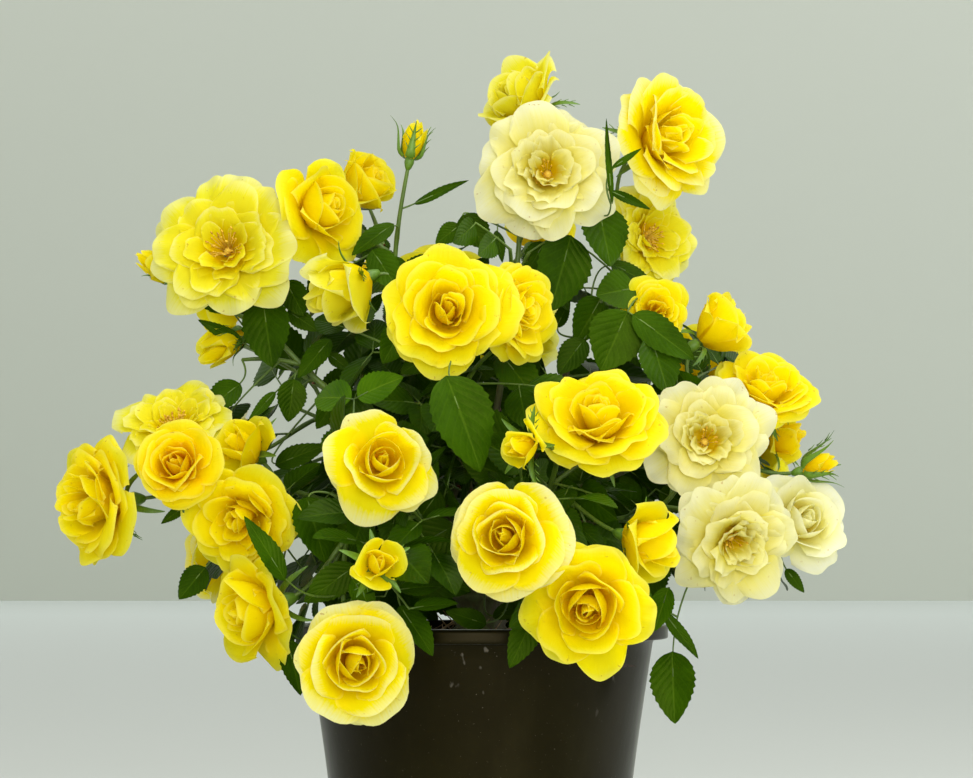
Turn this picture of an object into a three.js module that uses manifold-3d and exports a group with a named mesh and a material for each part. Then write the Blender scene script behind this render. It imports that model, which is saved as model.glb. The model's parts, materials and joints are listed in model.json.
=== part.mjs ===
// A potted patio rose in full flower: a dark plastic nursery pot filled with compost, a short
// stem hidden in the middle, canes that rise from it, and the masses of twigs, leaves and
// double yellow roses that the canes carry.
// Millimetres, +Z up. The origin is the centre of the pot's flat underside, and the front,
// where the best flowers are, faces -Y.

import * as THREE from "three";
import { mergeVertices } from "three/addons/utils/BufferGeometryUtils.js";
import Module from "manifold-3d";

const wasm = await Module();
wasm.setup();

// Driving dimensions
const CLEAR = 0.3;
const JOIN_TOLERANCE = 0.06;
const GOLDEN_ANGLE = 2.39996;

const POT = {
  height: 210,
  rimRadius: 112,
  lipHeight: 8,
  lipOut: 8,
  baseRadius: 80,
  wall: 2.2,
  floor: 3,
  sides: 40,
};
const SOIL = { belowRim: 9, heap: 5, sides: 20 };
const STEM = { height: 24, footRadius: 17, waistRadius: 13, topRadius: 15, sides: 10 };
const CANE = {
  ringRadius: 10,
  ringSeats: 9,
  footRadius: 2.9,
  tipRadius: 2.1,
  sideRadius: 2.4,
  sides: 5,
  segments: 6,
  forkAt: 0.46,
  forkAngle: 0.9,
  rise: 0.42,
};
const TWIG = { stemRadius: 1.9, stalkRadius: 1.5, tipRadius: 1.1, sides: 3, hubShort: 52 };
const LEAF = {
  spacing: 12,
  petiole: 0.45,
  pairGap: 0.62,
  lowerPair: 0.74,
  upperPair: 0.88,
  spread: 1.3,
  droop: 0.12,
  ribWidth: 1.8,
  thickness: 1.6,
  fold: 0.3,
  width: 0.62,
  smallest: 35,
  largest: 47,
};

// Each mass of foliage and flowers: the limb it grows from, and its roses.
// seat: place of its cane on the stem's ring (0 is the right-hand side, counted towards the
// back), or "middle". from and at: the cane that its own cane forks from, and how far up.
// arch: extra height of the cane over the straight line, as a share of its length.
// shoots: leafy shoots beside the flower stalks, reach: their length.
// roses: x, y, z of the centre, diameter, heading (0 is the front, 90 the right), lift
// (degrees above level) and kind.
const MASSES = [
  {
    name: "right_upper_spray", seat: 0, arch: 0.1, shoots: 3, reach: 85,
    roses: [
      [145, -10, 388, 50, 70, 45, "half"],
      [169, -20, 350, 66, 15, 45, "classic"],
      [188, 0, 322, 38, 60, 15, "half"],
      [198, -32, 303, 17, 80, 15, "bud"],
    ],
  },
  {
    name: "back_right_spray", seat: 1, arch: 0.12, shoots: 3, reach: 80,
    roses: [
      [150, 95, 372, 68, 130, 30, "classic"],
      [112, 138, 322, 60, 160, 15, "cup"],
      [180, 70, 318, 56, 105, 10, "open"],
    ],
  },
  {
    name: "back_middle_spray", seat: 2, arch: 0.12, shoots: 2, reach: 85,
    roses: [
      [20, 155, 400, 74, 175, 25, "open"],
      [-35, 175, 352, 62, 190, 10, "classic"],
      [48, 185, 335, 54, 165, 0, "cup"],
    ],
  },
  {
    name: "back_left_spray", seat: 3, arch: 0.12, shoots: 2, reach: 80,
    roses: [
      [-125, 120, 385, 70, 215, 30, "classic"],
      [-165, 85, 340, 64, 240, 10, "open"],
      [-105, 160, 325, 46, 205, 5, "half"],
    ],
  },
  {
    name: "left_upper_spray", seat: 4, arch: 0.12, shoots: 3, reach: 75,
    roses: [
      [-150, -40, 429, 88, -10, 8, "open"],
      [-197, -8, 424, 22, -60, 30, "bud"],
      [-157, 2, 376, 28, -60, -30, "bud"],
    ],
  },
  {
    name: "left_spray", seat: 5, arch: 0.1, shoots: 3, reach: 75,
    roses: [
      [-177, -50, 330, 76, -10, 50, "open"],
      [-168, -112, 302, 50, -5, 15, "classic"],
      [-218, -60, 280, 76, -75, -5, "classic"],
      [-137, -70, 314, 42, -40, 25, "half"],
      [-134, -98, 271, 72, -15, -15, "open"],
    ],
  },
  {
    name: "centre_left_spray", seat: 6, arch: 0.1, shoots: 5, reach: 75,
    roses: [
      [-51, -160, 302, 62, 10, 5, "classic"],
      [-53, -172, 247, 28, 0, 10, "bud"],
    ],
  },
  {
    name: "centre_right_spray", seat: 7, arch: 0.1, shoots: 5, reach: 75,
    roses: [
      [65, -130, 328, 82, 0, 35, "classic"],
      [22, -165, 309, 28, -20, 10, "bud"],
      [96, -140, 256, 46, 30, -10, "half"],
    ],
  },
  {
    name: "right_cream_spray", seat: 8, arch: 0.1, shoots: 3, reach: 75,
    roses: [
      [129, -80, 317, 78, 5, 10, "open"],
      [144, -92, 262, 76, -10, -10, "open"],
      [190, -42, 276, 60, 40, -15, "cup"],
    ],
  },
  {
    name: "top_spray", seat: "middle", arch: 0.02, shoots: 3, reach: 80,
    roses: [
      [24, 12, 533, 64, -30, 42, "open"],
      [36, -40, 474, 82, 0, 5, "open"],
    ],
  },
  {
    name: "top_right_spray", from: "top_spray", at: 0.42, arch: 0.06, shoots: 3, reach: 80,
    roses: [
      [110, -10, 498, 82, 38, 15, "cup"],
      [107, 30, 445, 72, 50, -5, "open"],
      [104, -30, 395, 44, 10, 10, "half"],
    ],
  },
  {
    name: "centre_spray", from: "top_spray", at: 0.3, arch: 0.04, shoots: 3, reach: 80,
    roses: [
      [-18, -112, 388, 80, 0, 8, "classic"],
      [24, -88, 389, 66, 55, 0, "classic"],
      [-80, -70, 398, 52, -60, -20, "half"],
    ],
  },
  {
    name: "upper_left_spray", from: "left_upper_spray", at: 0.4, arch: 0.08, shoots: 3, reach: 75,
    roses: [
      [-91, -30, 456, 66, 25, 15, "cup"],
      [-70, 18, 475, 44, 10, 40, "cup"],
      [-40, -20, 497, 17, 0, 82, "bud"],
    ],
  },
  {
    name: "lower_left_spray", from: "left_spray", at: 0.4, arch: 0.26, shoots: 3, reach: 60,
    roses: [
      [-128, -112, 219, 66, -45, -15, "classic"],
      [-65, -166, 194, 68, 10, -10, "classic"],
    ],
  },
  {
    name: "lower_front_spray", from: "centre_right_spray", at: 0.4, arch: 0.22, shoots: 4, reach: 60,
    roses: [
      [13, -180, 261, 66, -10, 5, "classic"],
      [57, -172, 221, 78, -5, -10, "cup"],
    ],
  },
  {
    name: "back_top_spray", from: "back_middle_spray", at: 0.4, arch: 0.1, shoots: 3, reach: 80,
    roses: [
      [-30, 85, 478, 70, 200, 40, "classic"],
      [40, 80, 455, 52, 150, 30, "half"],
      [-70, 110, 432, 24, 215, 35, "bud"],
    ],
  },
  {
    name: "back_low_right_spray", from: "back_right_spray", at: 0.4, arch: 0.2, shoots: 3, reach: 65,
    roses: [
      [168, 70, 248, 62, 115, -5, "cup"],
      [90, 165, 258, 70, 150, -5, "open"],
    ],
  },
  {
    name: "back_low_left_spray", from: "back_left_spray", at: 0.4, arch: 0.2, shoots: 3, reach: 65,
    roses: [
      [-70, 178, 252, 68, 195, -5, "cup"],
      [-172, 90, 250, 60, 245, 0, "classic"],
    ],
  },
];

// Seeded random numbers from 0 to 1
function seeded(seed) {
  let state = seed >>> 0;
  return () => {
    state = (state + 0x6d2b79f5) >>> 0;
    let t = state;
    t = Math.imul(t ^ (t >>> 15), t | 1);
    t ^= t + Math.imul(t ^ (t >>> 7), t | 61);
    return ((t ^ (t >>> 14)) >>> 0) / 4294967296;
  };
}

const vec = (x, y, z) => new THREE.Vector3(x, y, z);
const UP = vec(0, 0, 1);

function heading(azimuth, lift) {
  const a = THREE.MathUtils.degToRad(azimuth);
  const e = THREE.MathUtils.degToRad(lift);
  return vec(Math.sin(a) * Math.cos(e), -Math.cos(a) * Math.cos(e), Math.sin(e));
}

// Solids and geometries

function solidOf(geometry) {
  const bare = geometry.clone();
  bare.deleteAttribute("normal");
  bare.deleteAttribute("uv");
  const merged = mergeVertices(bare, 1e-4);
  return new wasm.Manifold(
    new wasm.Mesh({
      numProp: 3,
      vertProperties: merged.attributes.position.array,
      triVerts: new Uint32Array(merged.index.array),
    }),
  );
}

function solidFrom(points, faces) {
  return new wasm.Manifold(
    new wasm.Mesh({
      numProp: 3,
      vertProperties: new Float32Array(points.flatMap((p) => [p.x, p.y, p.z])),
      triVerts: new Uint32Array(faces.flat()),
    }),
  );
}

// True where every edge has two faces once its points are rounded to a thousandth.
function closesCleanly(solid) {
  const mesh = solid.getMesh();
  const ids = new Map();
  const idOf = (v) => {
    const xyz = mesh.vertProperties.subarray(v * mesh.numProp, v * mesh.numProp + 3);
    const key = Array.from(xyz, (c) => Math.round(c * 1000)).join(",");
    if (!ids.has(key)) ids.set(key, ids.size);
    return ids.get(key);
  };
  const uses = new Map();
  for (let i = 0; i < mesh.triVerts.length; i += 3) {
    const face = [0, 1, 2].map((k) => idOf(mesh.triVerts[i + k]));
    if (new Set(face).size < 3) continue;
    for (let k = 0; k < 3; k++) {
      const [a, b] = [face[k], face[(k + 1) % 3]];
      const edge = Math.min(a, b) + "-" + Math.max(a, b);
      uses.set(edge, (uses.get(edge) ?? 0) + 1);
    }
  }
  return [...uses.values()].every((count) => count === 2);
}

// Joins a piece to a mass, or says null where it would leave a loose or pinched join.
function fused(mass, piece) {
  const joined = mass.add(piece).simplify(JOIN_TOLERANCE);
  const whole = joined.decompose().length === 1 && closesCleanly(joined);
  return whole ? joined : null;
}

function geometryOf(solid) {
  const mesh = solid.getMesh();
  const geometry = new THREE.BufferGeometry();
  geometry.setAttribute("position", new THREE.BufferAttribute(mesh.vertProperties, 3));
  geometry.setIndex(new THREE.BufferAttribute(mesh.triVerts, 1));
  geometry.computeVertexNormals();
  return geometry;
}

// A closed solid through rings, ended by a point or by a flat cut. Two rings that follow each
// other have equal counts, or one has twice the other's, its even points facing them.
function loft(rings) {
  const points = [];
  const faces = [];
  const starts = rings.map((ring) => {
    points.push(...ring);
    return points.length - ring.length;
  });
  for (let i = 0; i + 1 < rings.length; i++) {
    const [a, b] = [starts[i], starts[i + 1]];
    const [na, nb] = [rings[i].length, rings[i + 1].length];
    const n = Math.max(na, nb);
    for (let k = 0; k < n; k++) {
      const next = (k + 1) % n;
      const [half, nextHalf] = [k >> 1, ((k + 1) >> 1) % (n / 2)];
      if (na === 1) faces.push([a, b + next, b + k]);
      else if (nb === 1) faces.push([a + k, a + next, b]);
      else if (na === nb) faces.push([a + k, a + next, b + next], [a + k, b + next, b + k]);
      else if (na < nb) {
        faces.push([a + half, b + next, b + k]);
        if (nextHalf !== half) faces.push([a + half, a + nextHalf, b + next]);
      } else {
        faces.push([a + k, a + next, b + half]);
        if (nextHalf !== half) faces.push([a + next, b + nextHalf, b + half]);
      }
    }
  }
  const first = rings[0].length;
  for (let k = 1; k + 1 < first; k++) faces.push([0, k + 1, k]);
  const last = rings.at(-1).length;
  const end = starts.at(-1);
  for (let k = 1; k + 1 < last; k++) faces.push([end, end + k, end + k + 1]);
  return solidFrom(points, faces);
}

// A ring of points round a centre, square to a direction.
function ringAt(centre, direction, side, radius, count) {
  const across = side.clone().addScaledVector(direction, -side.dot(direction)).normalize();
  const other = direction.clone().cross(across);
  return Array.from({ length: count }, (_, k) => {
    const a = (2 * Math.PI * k) / count;
    return centre
      .clone()
      .addScaledVector(across, radius * Math.cos(a))
      .addScaledVector(other, radius * Math.sin(a));
  });
}

// A tapering limb along a curve, cut flat at both ends, with its faceted centreline.
function limb(curve, footRadius, tipRadius, sides, segments) {
  let side = Math.abs(curve.getTangent(0).z) > 0.9 ? vec(1, 0, 0) : UP;
  const spine = curve.getPoints(segments);
  const radiusAt = (t) => footRadius + (tipRadius - footRadius) * t;
  const rings = spine.map((centre, i) => {
    const along = curve.getTangent(i / segments);
    side = side.clone().addScaledVector(along, -side.dot(along)).normalize();
    return ringAt(centre, along, side, radiusAt(i / segments), sides);
  });
  const pointAt = (t) => {
    const i = Math.min(segments - 1, Math.floor(t * segments));
    return spine[i].clone().lerp(spine[i + 1], t * segments - i);
  };
  return { solid: loft(rings), curve, pointAt, radiusAt, length: curve.getLength() };
}

// A compound leaf as one thin closed blade: a petiole, then one or two pairs of leaflets and a
// last one. Each leaflet is folded along its midrib. Its rib is thickest where leaflets meet.
function leafBlade(root, along, up, size, pairs) {
  const across = along.clone().cross(up).normalize();
  const normal = across.clone().cross(along).normalize();
  const droop = LEAF.droop / size;
  const at = (a, w, h = 0) =>
    root
      .clone()
      .addScaledVector(along, a)
      .addScaledVector(across, w)
      .addScaledVector(normal, h - droop * (a * a + w * w) * 0.5);
  const half = LEAF.width / 2;
  const rib = LEAF.ribWidth / 2;
  const thick = LEAF.thickness / 2;
  const joints = Array.from({ length: pairs }, (_, k) => size * (LEAF.petiole + LEAF.pairGap * k));
  const right = [];
  joints.forEach((a, k) => {
    const long = size * (pairs === 2 && k === 0 ? LEAF.lowerPair : LEAF.upperPair);
    const out = { a: Math.cos(LEAF.spread), w: Math.sin(LEAF.spread) };
    const wide = (side) => [
      a + 0.45 * long * out.a + side * half * long * out.w,
      0.45 * long * out.w - side * half * long * out.a,
      LEAF.fold * half * long,
    ];
    right.push(wide(-1), [a + long * out.a, long * out.w, 0], wide(1));
    right.push([a + (k + 1 < pairs ? 0.5 * LEAF.pairGap * size : 2.2), rib, 0]);
  });
  const end = joints.at(-1);
  right.push([end + 0.5 * size, half * size, LEAF.fold * half * size]);
  const tip = at(end + size, 0);
  const points = [at(0, 0, thick), at(0, 0, -thick), at(0, rib), at(0, -rib)];
  const [rootTop, rootUnder, rootRight, rootLeft] = [0, 1, 2, 3];
  const tops = joints.map((a) => points.push(at(a, 0, thick)) - 1);
  const unders = joints.map((a) => points.push(at(a, 0, -thick)) - 1);
  const last = points.push(tip) - 1;
  const faces = [[rootTop, rootUnder, rootRight], [rootTop, rootLeft, rootUnder]];
  for (const hand of [1, -1]) {
    const rim = [hand > 0 ? rootRight : rootLeft];
    right.forEach(([a, w, h]) => rim.push(points.push(at(a, hand * w, h)) - 1));
    rim.push(last);
    const face = (x, y, z) => faces.push(hand > 0 ? [x, z, y] : [x, y, z]);
    face(rootTop, tops[0], rim[0]);
    face(rootUnder, rim[0], unders[0]);
    for (let k = 0; k + 1 < rim.length; k++) {
      const joint = Math.min(pairs - 1, Math.floor(k / 4));
      face(tops[joint], rim[k + 1], rim[k]);
      face(unders[joint], rim[k], rim[k + 1]);
      if (k === 3 && pairs === 2) {
        face(tops[0], tops[1], rim[4]);
        face(unders[0], rim[4], unders[1]);
      }
    }
  }
  return solidFrom(points, faces);
}

// A rose: its underside is a bowl, its rim has five petals, and its heart stands up.
const ROSE_FORMS = {
  open: { depth: 0.3, rimLift: 0.1, heart: 0.2, heartLift: 0.17, centreLift: 0.12 },
  classic: { depth: 0.36, rimLift: 0.06, heart: 0.27, heartLift: 0.24, centreLift: 0.18 },
  cup: { depth: 0.4, rimLift: 0.2, heart: 0.26, heartLift: 0.26, centreLift: 0.2 },
};
function rose([x, y, z, diameter, azimuth, lift, kind], turn) {
  const face = heading(azimuth, lift);
  const side = Math.abs(face.z) > 0.9 ? vec(1, 0, 0) : UP;
  const centre = vec(x, y, z);
  const at = (share) => centre.clone().addScaledVector(face, share * diameter);
  const start = side.clone().applyAxisAngle(face, turn);
  const ring = (share, radius, count) => ringAt(at(share), face, start, radius * diameter, count);
  if (kind === "bud" || kind === "half") {
    const long = kind === "bud" ? 0.95 : 0.55;
    return loft([
      [at(-long * 0.72)],
      ring(-long * 0.3, 0.4, 5),
      ring(long * 0.2, kind === "bud" ? 0.42 : 0.5, 5),
      ring(long * 0.62, kind === "bud" ? 0.16 : 0.36, 5),
      [at(kind === "bud" ? long * 0.85 : long * 0.5)],
    ]);
  }
  const form = ROSE_FORMS[kind];
  const petals = 5;
  const rim = ring(form.rimLift, 0.5, 2 * petals).map((p, k) => {
    const notch = k % 2 === 1;
    return p.lerp(at(form.rimLift + 0.12), notch ? 0.17 : 0);
  });
  return loft([
    [at(-form.depth)],
    ring(-0.55 * form.depth, 0.25, petals),
    rim,
    ring(form.heartLift, form.heart, petals),
    [at(form.centreLift)],
  ]);
}

// The back of a rose, where its stalk joins it.
function roseBack([x, y, z, diameter, azimuth, lift, kind]) {
  const share = { bud: 0.6, half: 0.34 }[kind] ?? ROSE_FORMS[kind].depth - 0.06;
  return vec(x, y, z).addScaledVector(heading(azimuth, lift), -share * diameter);
}

// Pot and soil

const potWallRadius = POT.rimRadius - POT.lipOut;
const soilLevel = POT.height - SOIL.belowRim;
const wallRadiusAt = (z) =>
  POT.baseRadius + ((potWallRadius - POT.baseRadius) * z) / POT.height;

function potSolid() {
  const lipFoot = POT.height - POT.lipHeight;
  const profile = [
    [0, 0],
    [POT.baseRadius, 0],
    [wallRadiusAt(lipFoot), lipFoot],
    [POT.rimRadius, lipFoot],
    [POT.rimRadius, POT.height - 1.5],
    [POT.rimRadius - 1.5, POT.height],
    [potWallRadius - POT.wall, POT.height],
    [wallRadiusAt(POT.floor) - POT.wall, POT.floor],
    [0, POT.floor],
  ].map(([r, z]) => new THREE.Vector2(r, z));
  return solidOf(new THREE.LatheGeometry(profile, POT.sides).rotateX(Math.PI / 2));
}

function soilSolid() {
  const inner = (z) => (wallRadiusAt(z) - POT.wall) * Math.cos(Math.PI / POT.sides) - CLEAR;
  const foot = POT.floor + CLEAR;
  const random = seeded(11);
  const rough = (share, z) => {
    const radius = inner(soilLevel) * share;
    const ring = ringAt(vec(0, 0, z), UP, vec(1, 0, 0), radius, SOIL.sides);
    return ring.map((p) => p.setZ(z + (share < 1 ? 2.5 * (random() - 0.5) : 0)));
  };
  const flatRadius = STEM.footRadius + 3;
  return loft([
    ringAt(vec(0, 0, foot), UP, vec(1, 0, 0), inner(foot), SOIL.sides),
    rough(1, soilLevel),
    rough(0.72, soilLevel + 0.55 * SOIL.heap),
    ringAt(vec(0, 0, soilLevel + SOIL.heap), UP, vec(1, 0, 0), flatRadius, SOIL.sides),
  ]);
}

// Stem: its foot is cut flat where it meets the soil, and it flares there.
const stemFoot = soilLevel + SOIL.heap + CLEAR;
const stemTop = stemFoot + STEM.height;
function stemSolid() {
  const profile = [
    [0, stemFoot],
    [STEM.footRadius, stemFoot],
    [STEM.waistRadius + 1, stemFoot + 0.25 * STEM.height],
    [STEM.waistRadius, stemFoot + 0.5 * STEM.height],
    [STEM.topRadius, stemFoot + 0.85 * STEM.height],
    [STEM.topRadius - 1, stemTop],
    [0, stemTop],
  ].map(([r, z]) => new THREE.Vector2(r, z));
  return solidOf(new THREE.LatheGeometry(profile, STEM.sides).rotateX(Math.PI / 2));
}

// Canes: a quadratic curve from the foot, up, and out to the fork where the mass begins.
const canes = new Map();

function massCentre(mass) {
  const sum = vec(0, 0, 0);
  mass.roses.forEach(([x, y, z]) => sum.add(vec(x, y, z)));
  return sum.divideScalar(mass.roses.length);
}

function caneOf(mass) {
  const centre = massCentre(mass);
  const parent = canes.get(mass.from);
  let foot, first;
  if (parent) {
    const on = parent.pointAt(mass.at);
    const along = parent.curve.getTangent(mass.at);
    const out = centre.clone().sub(on);
    const aside = out.addScaledVector(along, -out.dot(along)).normalize();
    const [cosine, sine] = [Math.cos(CANE.forkAngle), Math.sin(CANE.forkAngle)];
    first = aside.multiplyScalar(sine).addScaledVector(along, cosine);
    const room = parent.radiusAt(mass.at) + CLEAR + CANE.sideRadius * cosine;
    foot = on.addScaledVector(first, room / sine);
  } else {
    const seat = mass.seat === "middle" ? 0 : CANE.ringRadius;
    const a = (2 * Math.PI * mass.seat) / CANE.ringSeats || 0;
    foot = vec(seat * Math.cos(a), seat * Math.sin(a), stemTop + CLEAR);
    first = UP.clone();
  }
  const span = centre.distanceTo(foot);
  const tip = foot.clone().lerp(centre, CANE.forkAt).addScaledVector(UP, mass.arch * span);
  const bend = foot.clone().addScaledVector(first, CANE.rise * tip.distanceTo(foot));
  const curve = new THREE.QuadraticBezierCurve3(foot, bend, tip);
  const footRadius = parent ? CANE.sideRadius : CANE.footRadius;
  return limb(curve, footRadius, CANE.tipRadius, CANE.sides, CANE.segments);
}

// A mass: its stem goes on from the cane's tip to a hub behind the roses. A stalk runs from
// there to each rose, and leafy shoots leave the stem by a seeded rule.
function skeletonOf(mass, cane, random) {
  const along = cane.curve.getTangent(1);
  const root = cane.curve.getPoint(1).addScaledVector(along, CLEAR);
  const toCentre = massCentre(mass).sub(root);
  const span = toCentre.length();
  const reach = Math.max(0.35 * span, span - TWIG.hubShort);
  const hub = root.clone().addScaledVector(toCentre, reach / span);
  hub.addScaledVector(UP, 0.55 * mass.arch * span);
  const bend = root.clone().addScaledVector(along, 0.45 * hub.distanceTo(root));
  const stemCurve = new THREE.QuadraticBezierCurve3(root, bend, hub);
  const massStem = limb(stemCurve, TWIG.stemRadius, TWIG.stalkRadius, TWIG.sides, 3);
  const twigs = [massStem];
  mass.roses.forEach((entry, k) => {
    const back = roseBack(entry);
    const face = heading(entry[4], entry[5]);
    const start = massStem.pointAt(0.97 - (0.45 * k) / mass.roses.length);
    const pull = 0.42 * back.distanceTo(start);
    const leave = back.clone().sub(start).normalize().add(stemCurve.getTangent(1)).normalize();
    const curve = new THREE.CubicBezierCurve3(
      start,
      start.clone().addScaledVector(leave, 0.8 * pull),
      back.clone().addScaledVector(face, -pull),
      back,
    );
    const stalk = limb(curve, TWIG.stalkRadius, TWIG.tipRadius, TWIG.sides, 3);
    twigs.push({ ...stalk, stalk: true });
  });
  for (let k = 0; k < mass.shoots; k++) {
    const t = 0.1 + (0.7 * k) / mass.shoots;
    const start = massStem.pointAt(t);
    const forward = stemCurve.getTangent(t);
    const away = vec(start.x, start.y, 0).normalize();
    const turn = k * GOLDEN_ANGLE + 6.28 * random();
    const side = forward.clone().cross(UP).normalize().applyAxisAngle(forward, turn);
    const out = forward.clone().multiplyScalar(0.7).addScaledVector(side, 0.9);
    out.addScaledVector(away, 0.35).normalize();
    const length = mass.reach * (0.75 + 0.4 * random());
    const end = start.clone().addScaledVector(out, length).addScaledVector(UP, 0.06 * length);
    const middle = start.clone().addScaledVector(forward, 0.3 * length).lerp(end, 0.3);
    const curve = new THREE.QuadraticBezierCurve3(start, middle, end);
    const shoot = limb(curve, TWIG.stalkRadius, TWIG.tipRadius, TWIG.sides, 3);
    twigs.push({ ...shoot, shoot: true });
  }
  return twigs;
}

// What stands in each mass's own space, with its box for a quick test
const boxed = (solid, owner, kind) => ({ solid, owner, kind, box: solid.boundingBox() });

function near(a, b, gap) {
  for (let i = 0; i < 3; i++) {
    if (a.min[i] > b.max[i] + gap || b.min[i] > a.max[i] + gap) return false;
  }
  return true;
}

function touches(solid, others, gap) {
  const box = solid.boundingBox();
  return others.some((o) => near(box, o.box, gap) && solid.minGap(o.solid, gap) < gap);
}

const placed = [];
const pot = potSolid();
const soil = soilSolid();
const stem = stemSolid();
placed.push(boxed(pot, "pot"), boxed(soil, "soil"), boxed(stem, "stem"));

MASSES.forEach((mass, index) => {
  const cane = caneOf(mass);
  canes.set(mass.name, cane);
  const random = seeded(100 + index);
  mass.random = random;
  placed.push(boxed(cane.solid, mass.name + " cane"));
  mass.twigs = skeletonOf(mass, cane, random);
  mass.heads = mass.roses.map((entry) => rose(entry, 6.28 * random()));
});

// Roses and their stalks come first, then the shoots that keep clear of the other masses.
function mustBeClear(name, solid, what) {
  const strangers = placed.filter((o) => o.owner !== name);
  if (touches(solid, strangers, CLEAR - 0.05)) throw new Error(name + ": " + what + " meets another");
}
MASSES.forEach((mass) => {
  const [massStem, ...rest] = mass.twigs;
  mass.solid = massStem.solid;
  mustBeClear(mass.name, massStem.solid, "stem");
  placed.push(boxed(massStem.solid, mass.name, "twig"));
  const join = (solid, kind, label) => {
    mustBeClear(mass.name, solid, label);
    placed.push(boxed(solid, mass.name, kind));
    mass.solid = fused(mass.solid, solid);
    if (!mass.solid) throw new Error(mass.name + ": " + label + " doesn't join");
  };
  rest.filter((twig) => twig.stalk).forEach((twig, k) => {
    join(twig.solid, "twig", "stalk " + k);
    join(mass.heads[k], "rose", "rose " + k);
  });
});
MASSES.forEach((mass) => {
  mass.twigs = mass.twigs.filter((twig) => {
    if (!twig.shoot) return true;
    const rivals = placed.filter((o) => o.owner !== mass.name || o.kind === "rose");
    if (touches(twig.solid, rivals, CLEAR + 1)) return false;
    const grown = fused(mass.solid, twig.solid);
    if (!grown) return false;
    placed.push(boxed(twig.solid, mass.name, "twig"));
    mass.solid = grown;
    return true;
  });
});

// Leaves: one at each step along the stem and the shoots, turned by the golden angle.
function leafPlaces(mass) {
  const places = [];
  mass.twigs.forEach((twig) => {
    const from = twig.stalk ? 0.3 : 0.06;
    const until = twig.stalk ? 0.55 : 1;
    const spacing = twig.stalk ? 2 * LEAF.spacing : LEAF.spacing;
    for (let s = from * twig.length; s < until * twig.length; s += spacing) {
      places.push({ twig, t: s / twig.length });
    }
  });
  return places;
}

function growLeaf(mass, { twig, t }, order) {
  const random = mass.random;
  const root = twig.pointAt(t);
  const forward = twig.curve.getTangent(t);
  const turn = order * GOLDEN_ANGLE + 0.8 * (random() - 0.5);
  const flat = Math.abs(forward.z) > 0.95 ? vec(1, 0, 0) : UP;
  const side = forward.clone().cross(flat).normalize().applyAxisAngle(forward, turn);
  const along = forward
    .clone()
    .multiplyScalar(0.45)
    .add(side)
    .addScaledVector(vec(root.x, root.y, 0).normalize(), 0.45)
    .normalize();
  const up = UP.clone().addScaledVector(side, 0.35).addScaledVector(along, -along.dot(UP)).normalize();
  const size = LEAF.smallest + (LEAF.largest - LEAF.smallest) * random();
  const others = placed.filter((o) => o.solid !== twig.solid);
  for (const [share, pairs] of [[1, 2], [1, 1], [0.8, 2], [0.8, 1]]) {
    const blade = leafBlade(root, along, up, share * size, pairs);
    if (touches(blade, others, CLEAR)) continue;
    const grown = fused(mass.solid, blade);
    if (!grown) continue;
    placed.push(boxed(blade, mass.name, "leaf"));
    mass.solid = grown;
    return;
  }
}

const queues = MASSES.map((mass) => leafPlaces(mass));
for (let round = 0; queues.some((q) => q.length); round++) {
  MASSES.forEach((mass, index) => {
    const queue = queues[index];
    if (!queue.length) return;
    const place = queue.splice(Math.floor(mass.random() * queue.length), 1)[0];
    growLeaf(mass, place, round);
  });
}

// The plant as named meshes
const plastic = { color: 0x1d1916, roughness: 0.42, metalness: 0 };
const compost = { color: 0x2b1d12, roughness: 0.95, metalness: 0 };
const bark = { color: 0x4a4a22, roughness: 0.75, metalness: 0 };
const foliage = { color: 0x2f5a1e, roughness: 0.5, metalness: 0 };

const plant = new THREE.Group();
function add(name, solid, look) {
  const mesh = new THREE.Mesh(geometryOf(solid), new THREE.MeshStandardMaterial(look));
  mesh.name = name;
  plant.add(mesh);
}

add("pot", pot, plastic);
add("soil", soil, compost);
add("stem", stem, bark);
MASSES.forEach((mass) => {
  add(mass.name.replace("spray", "cane"), canes.get(mass.name).solid, bark);
  add(mass.name, mass.solid, foliage);
});

export default plant;
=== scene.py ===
# A potted patio rose in full flower: the looks of every surface, in the frame of the model.
# Shapes are worked out in millimetres, as in the model, and become metres when a piece is made.
import json
import math

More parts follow.
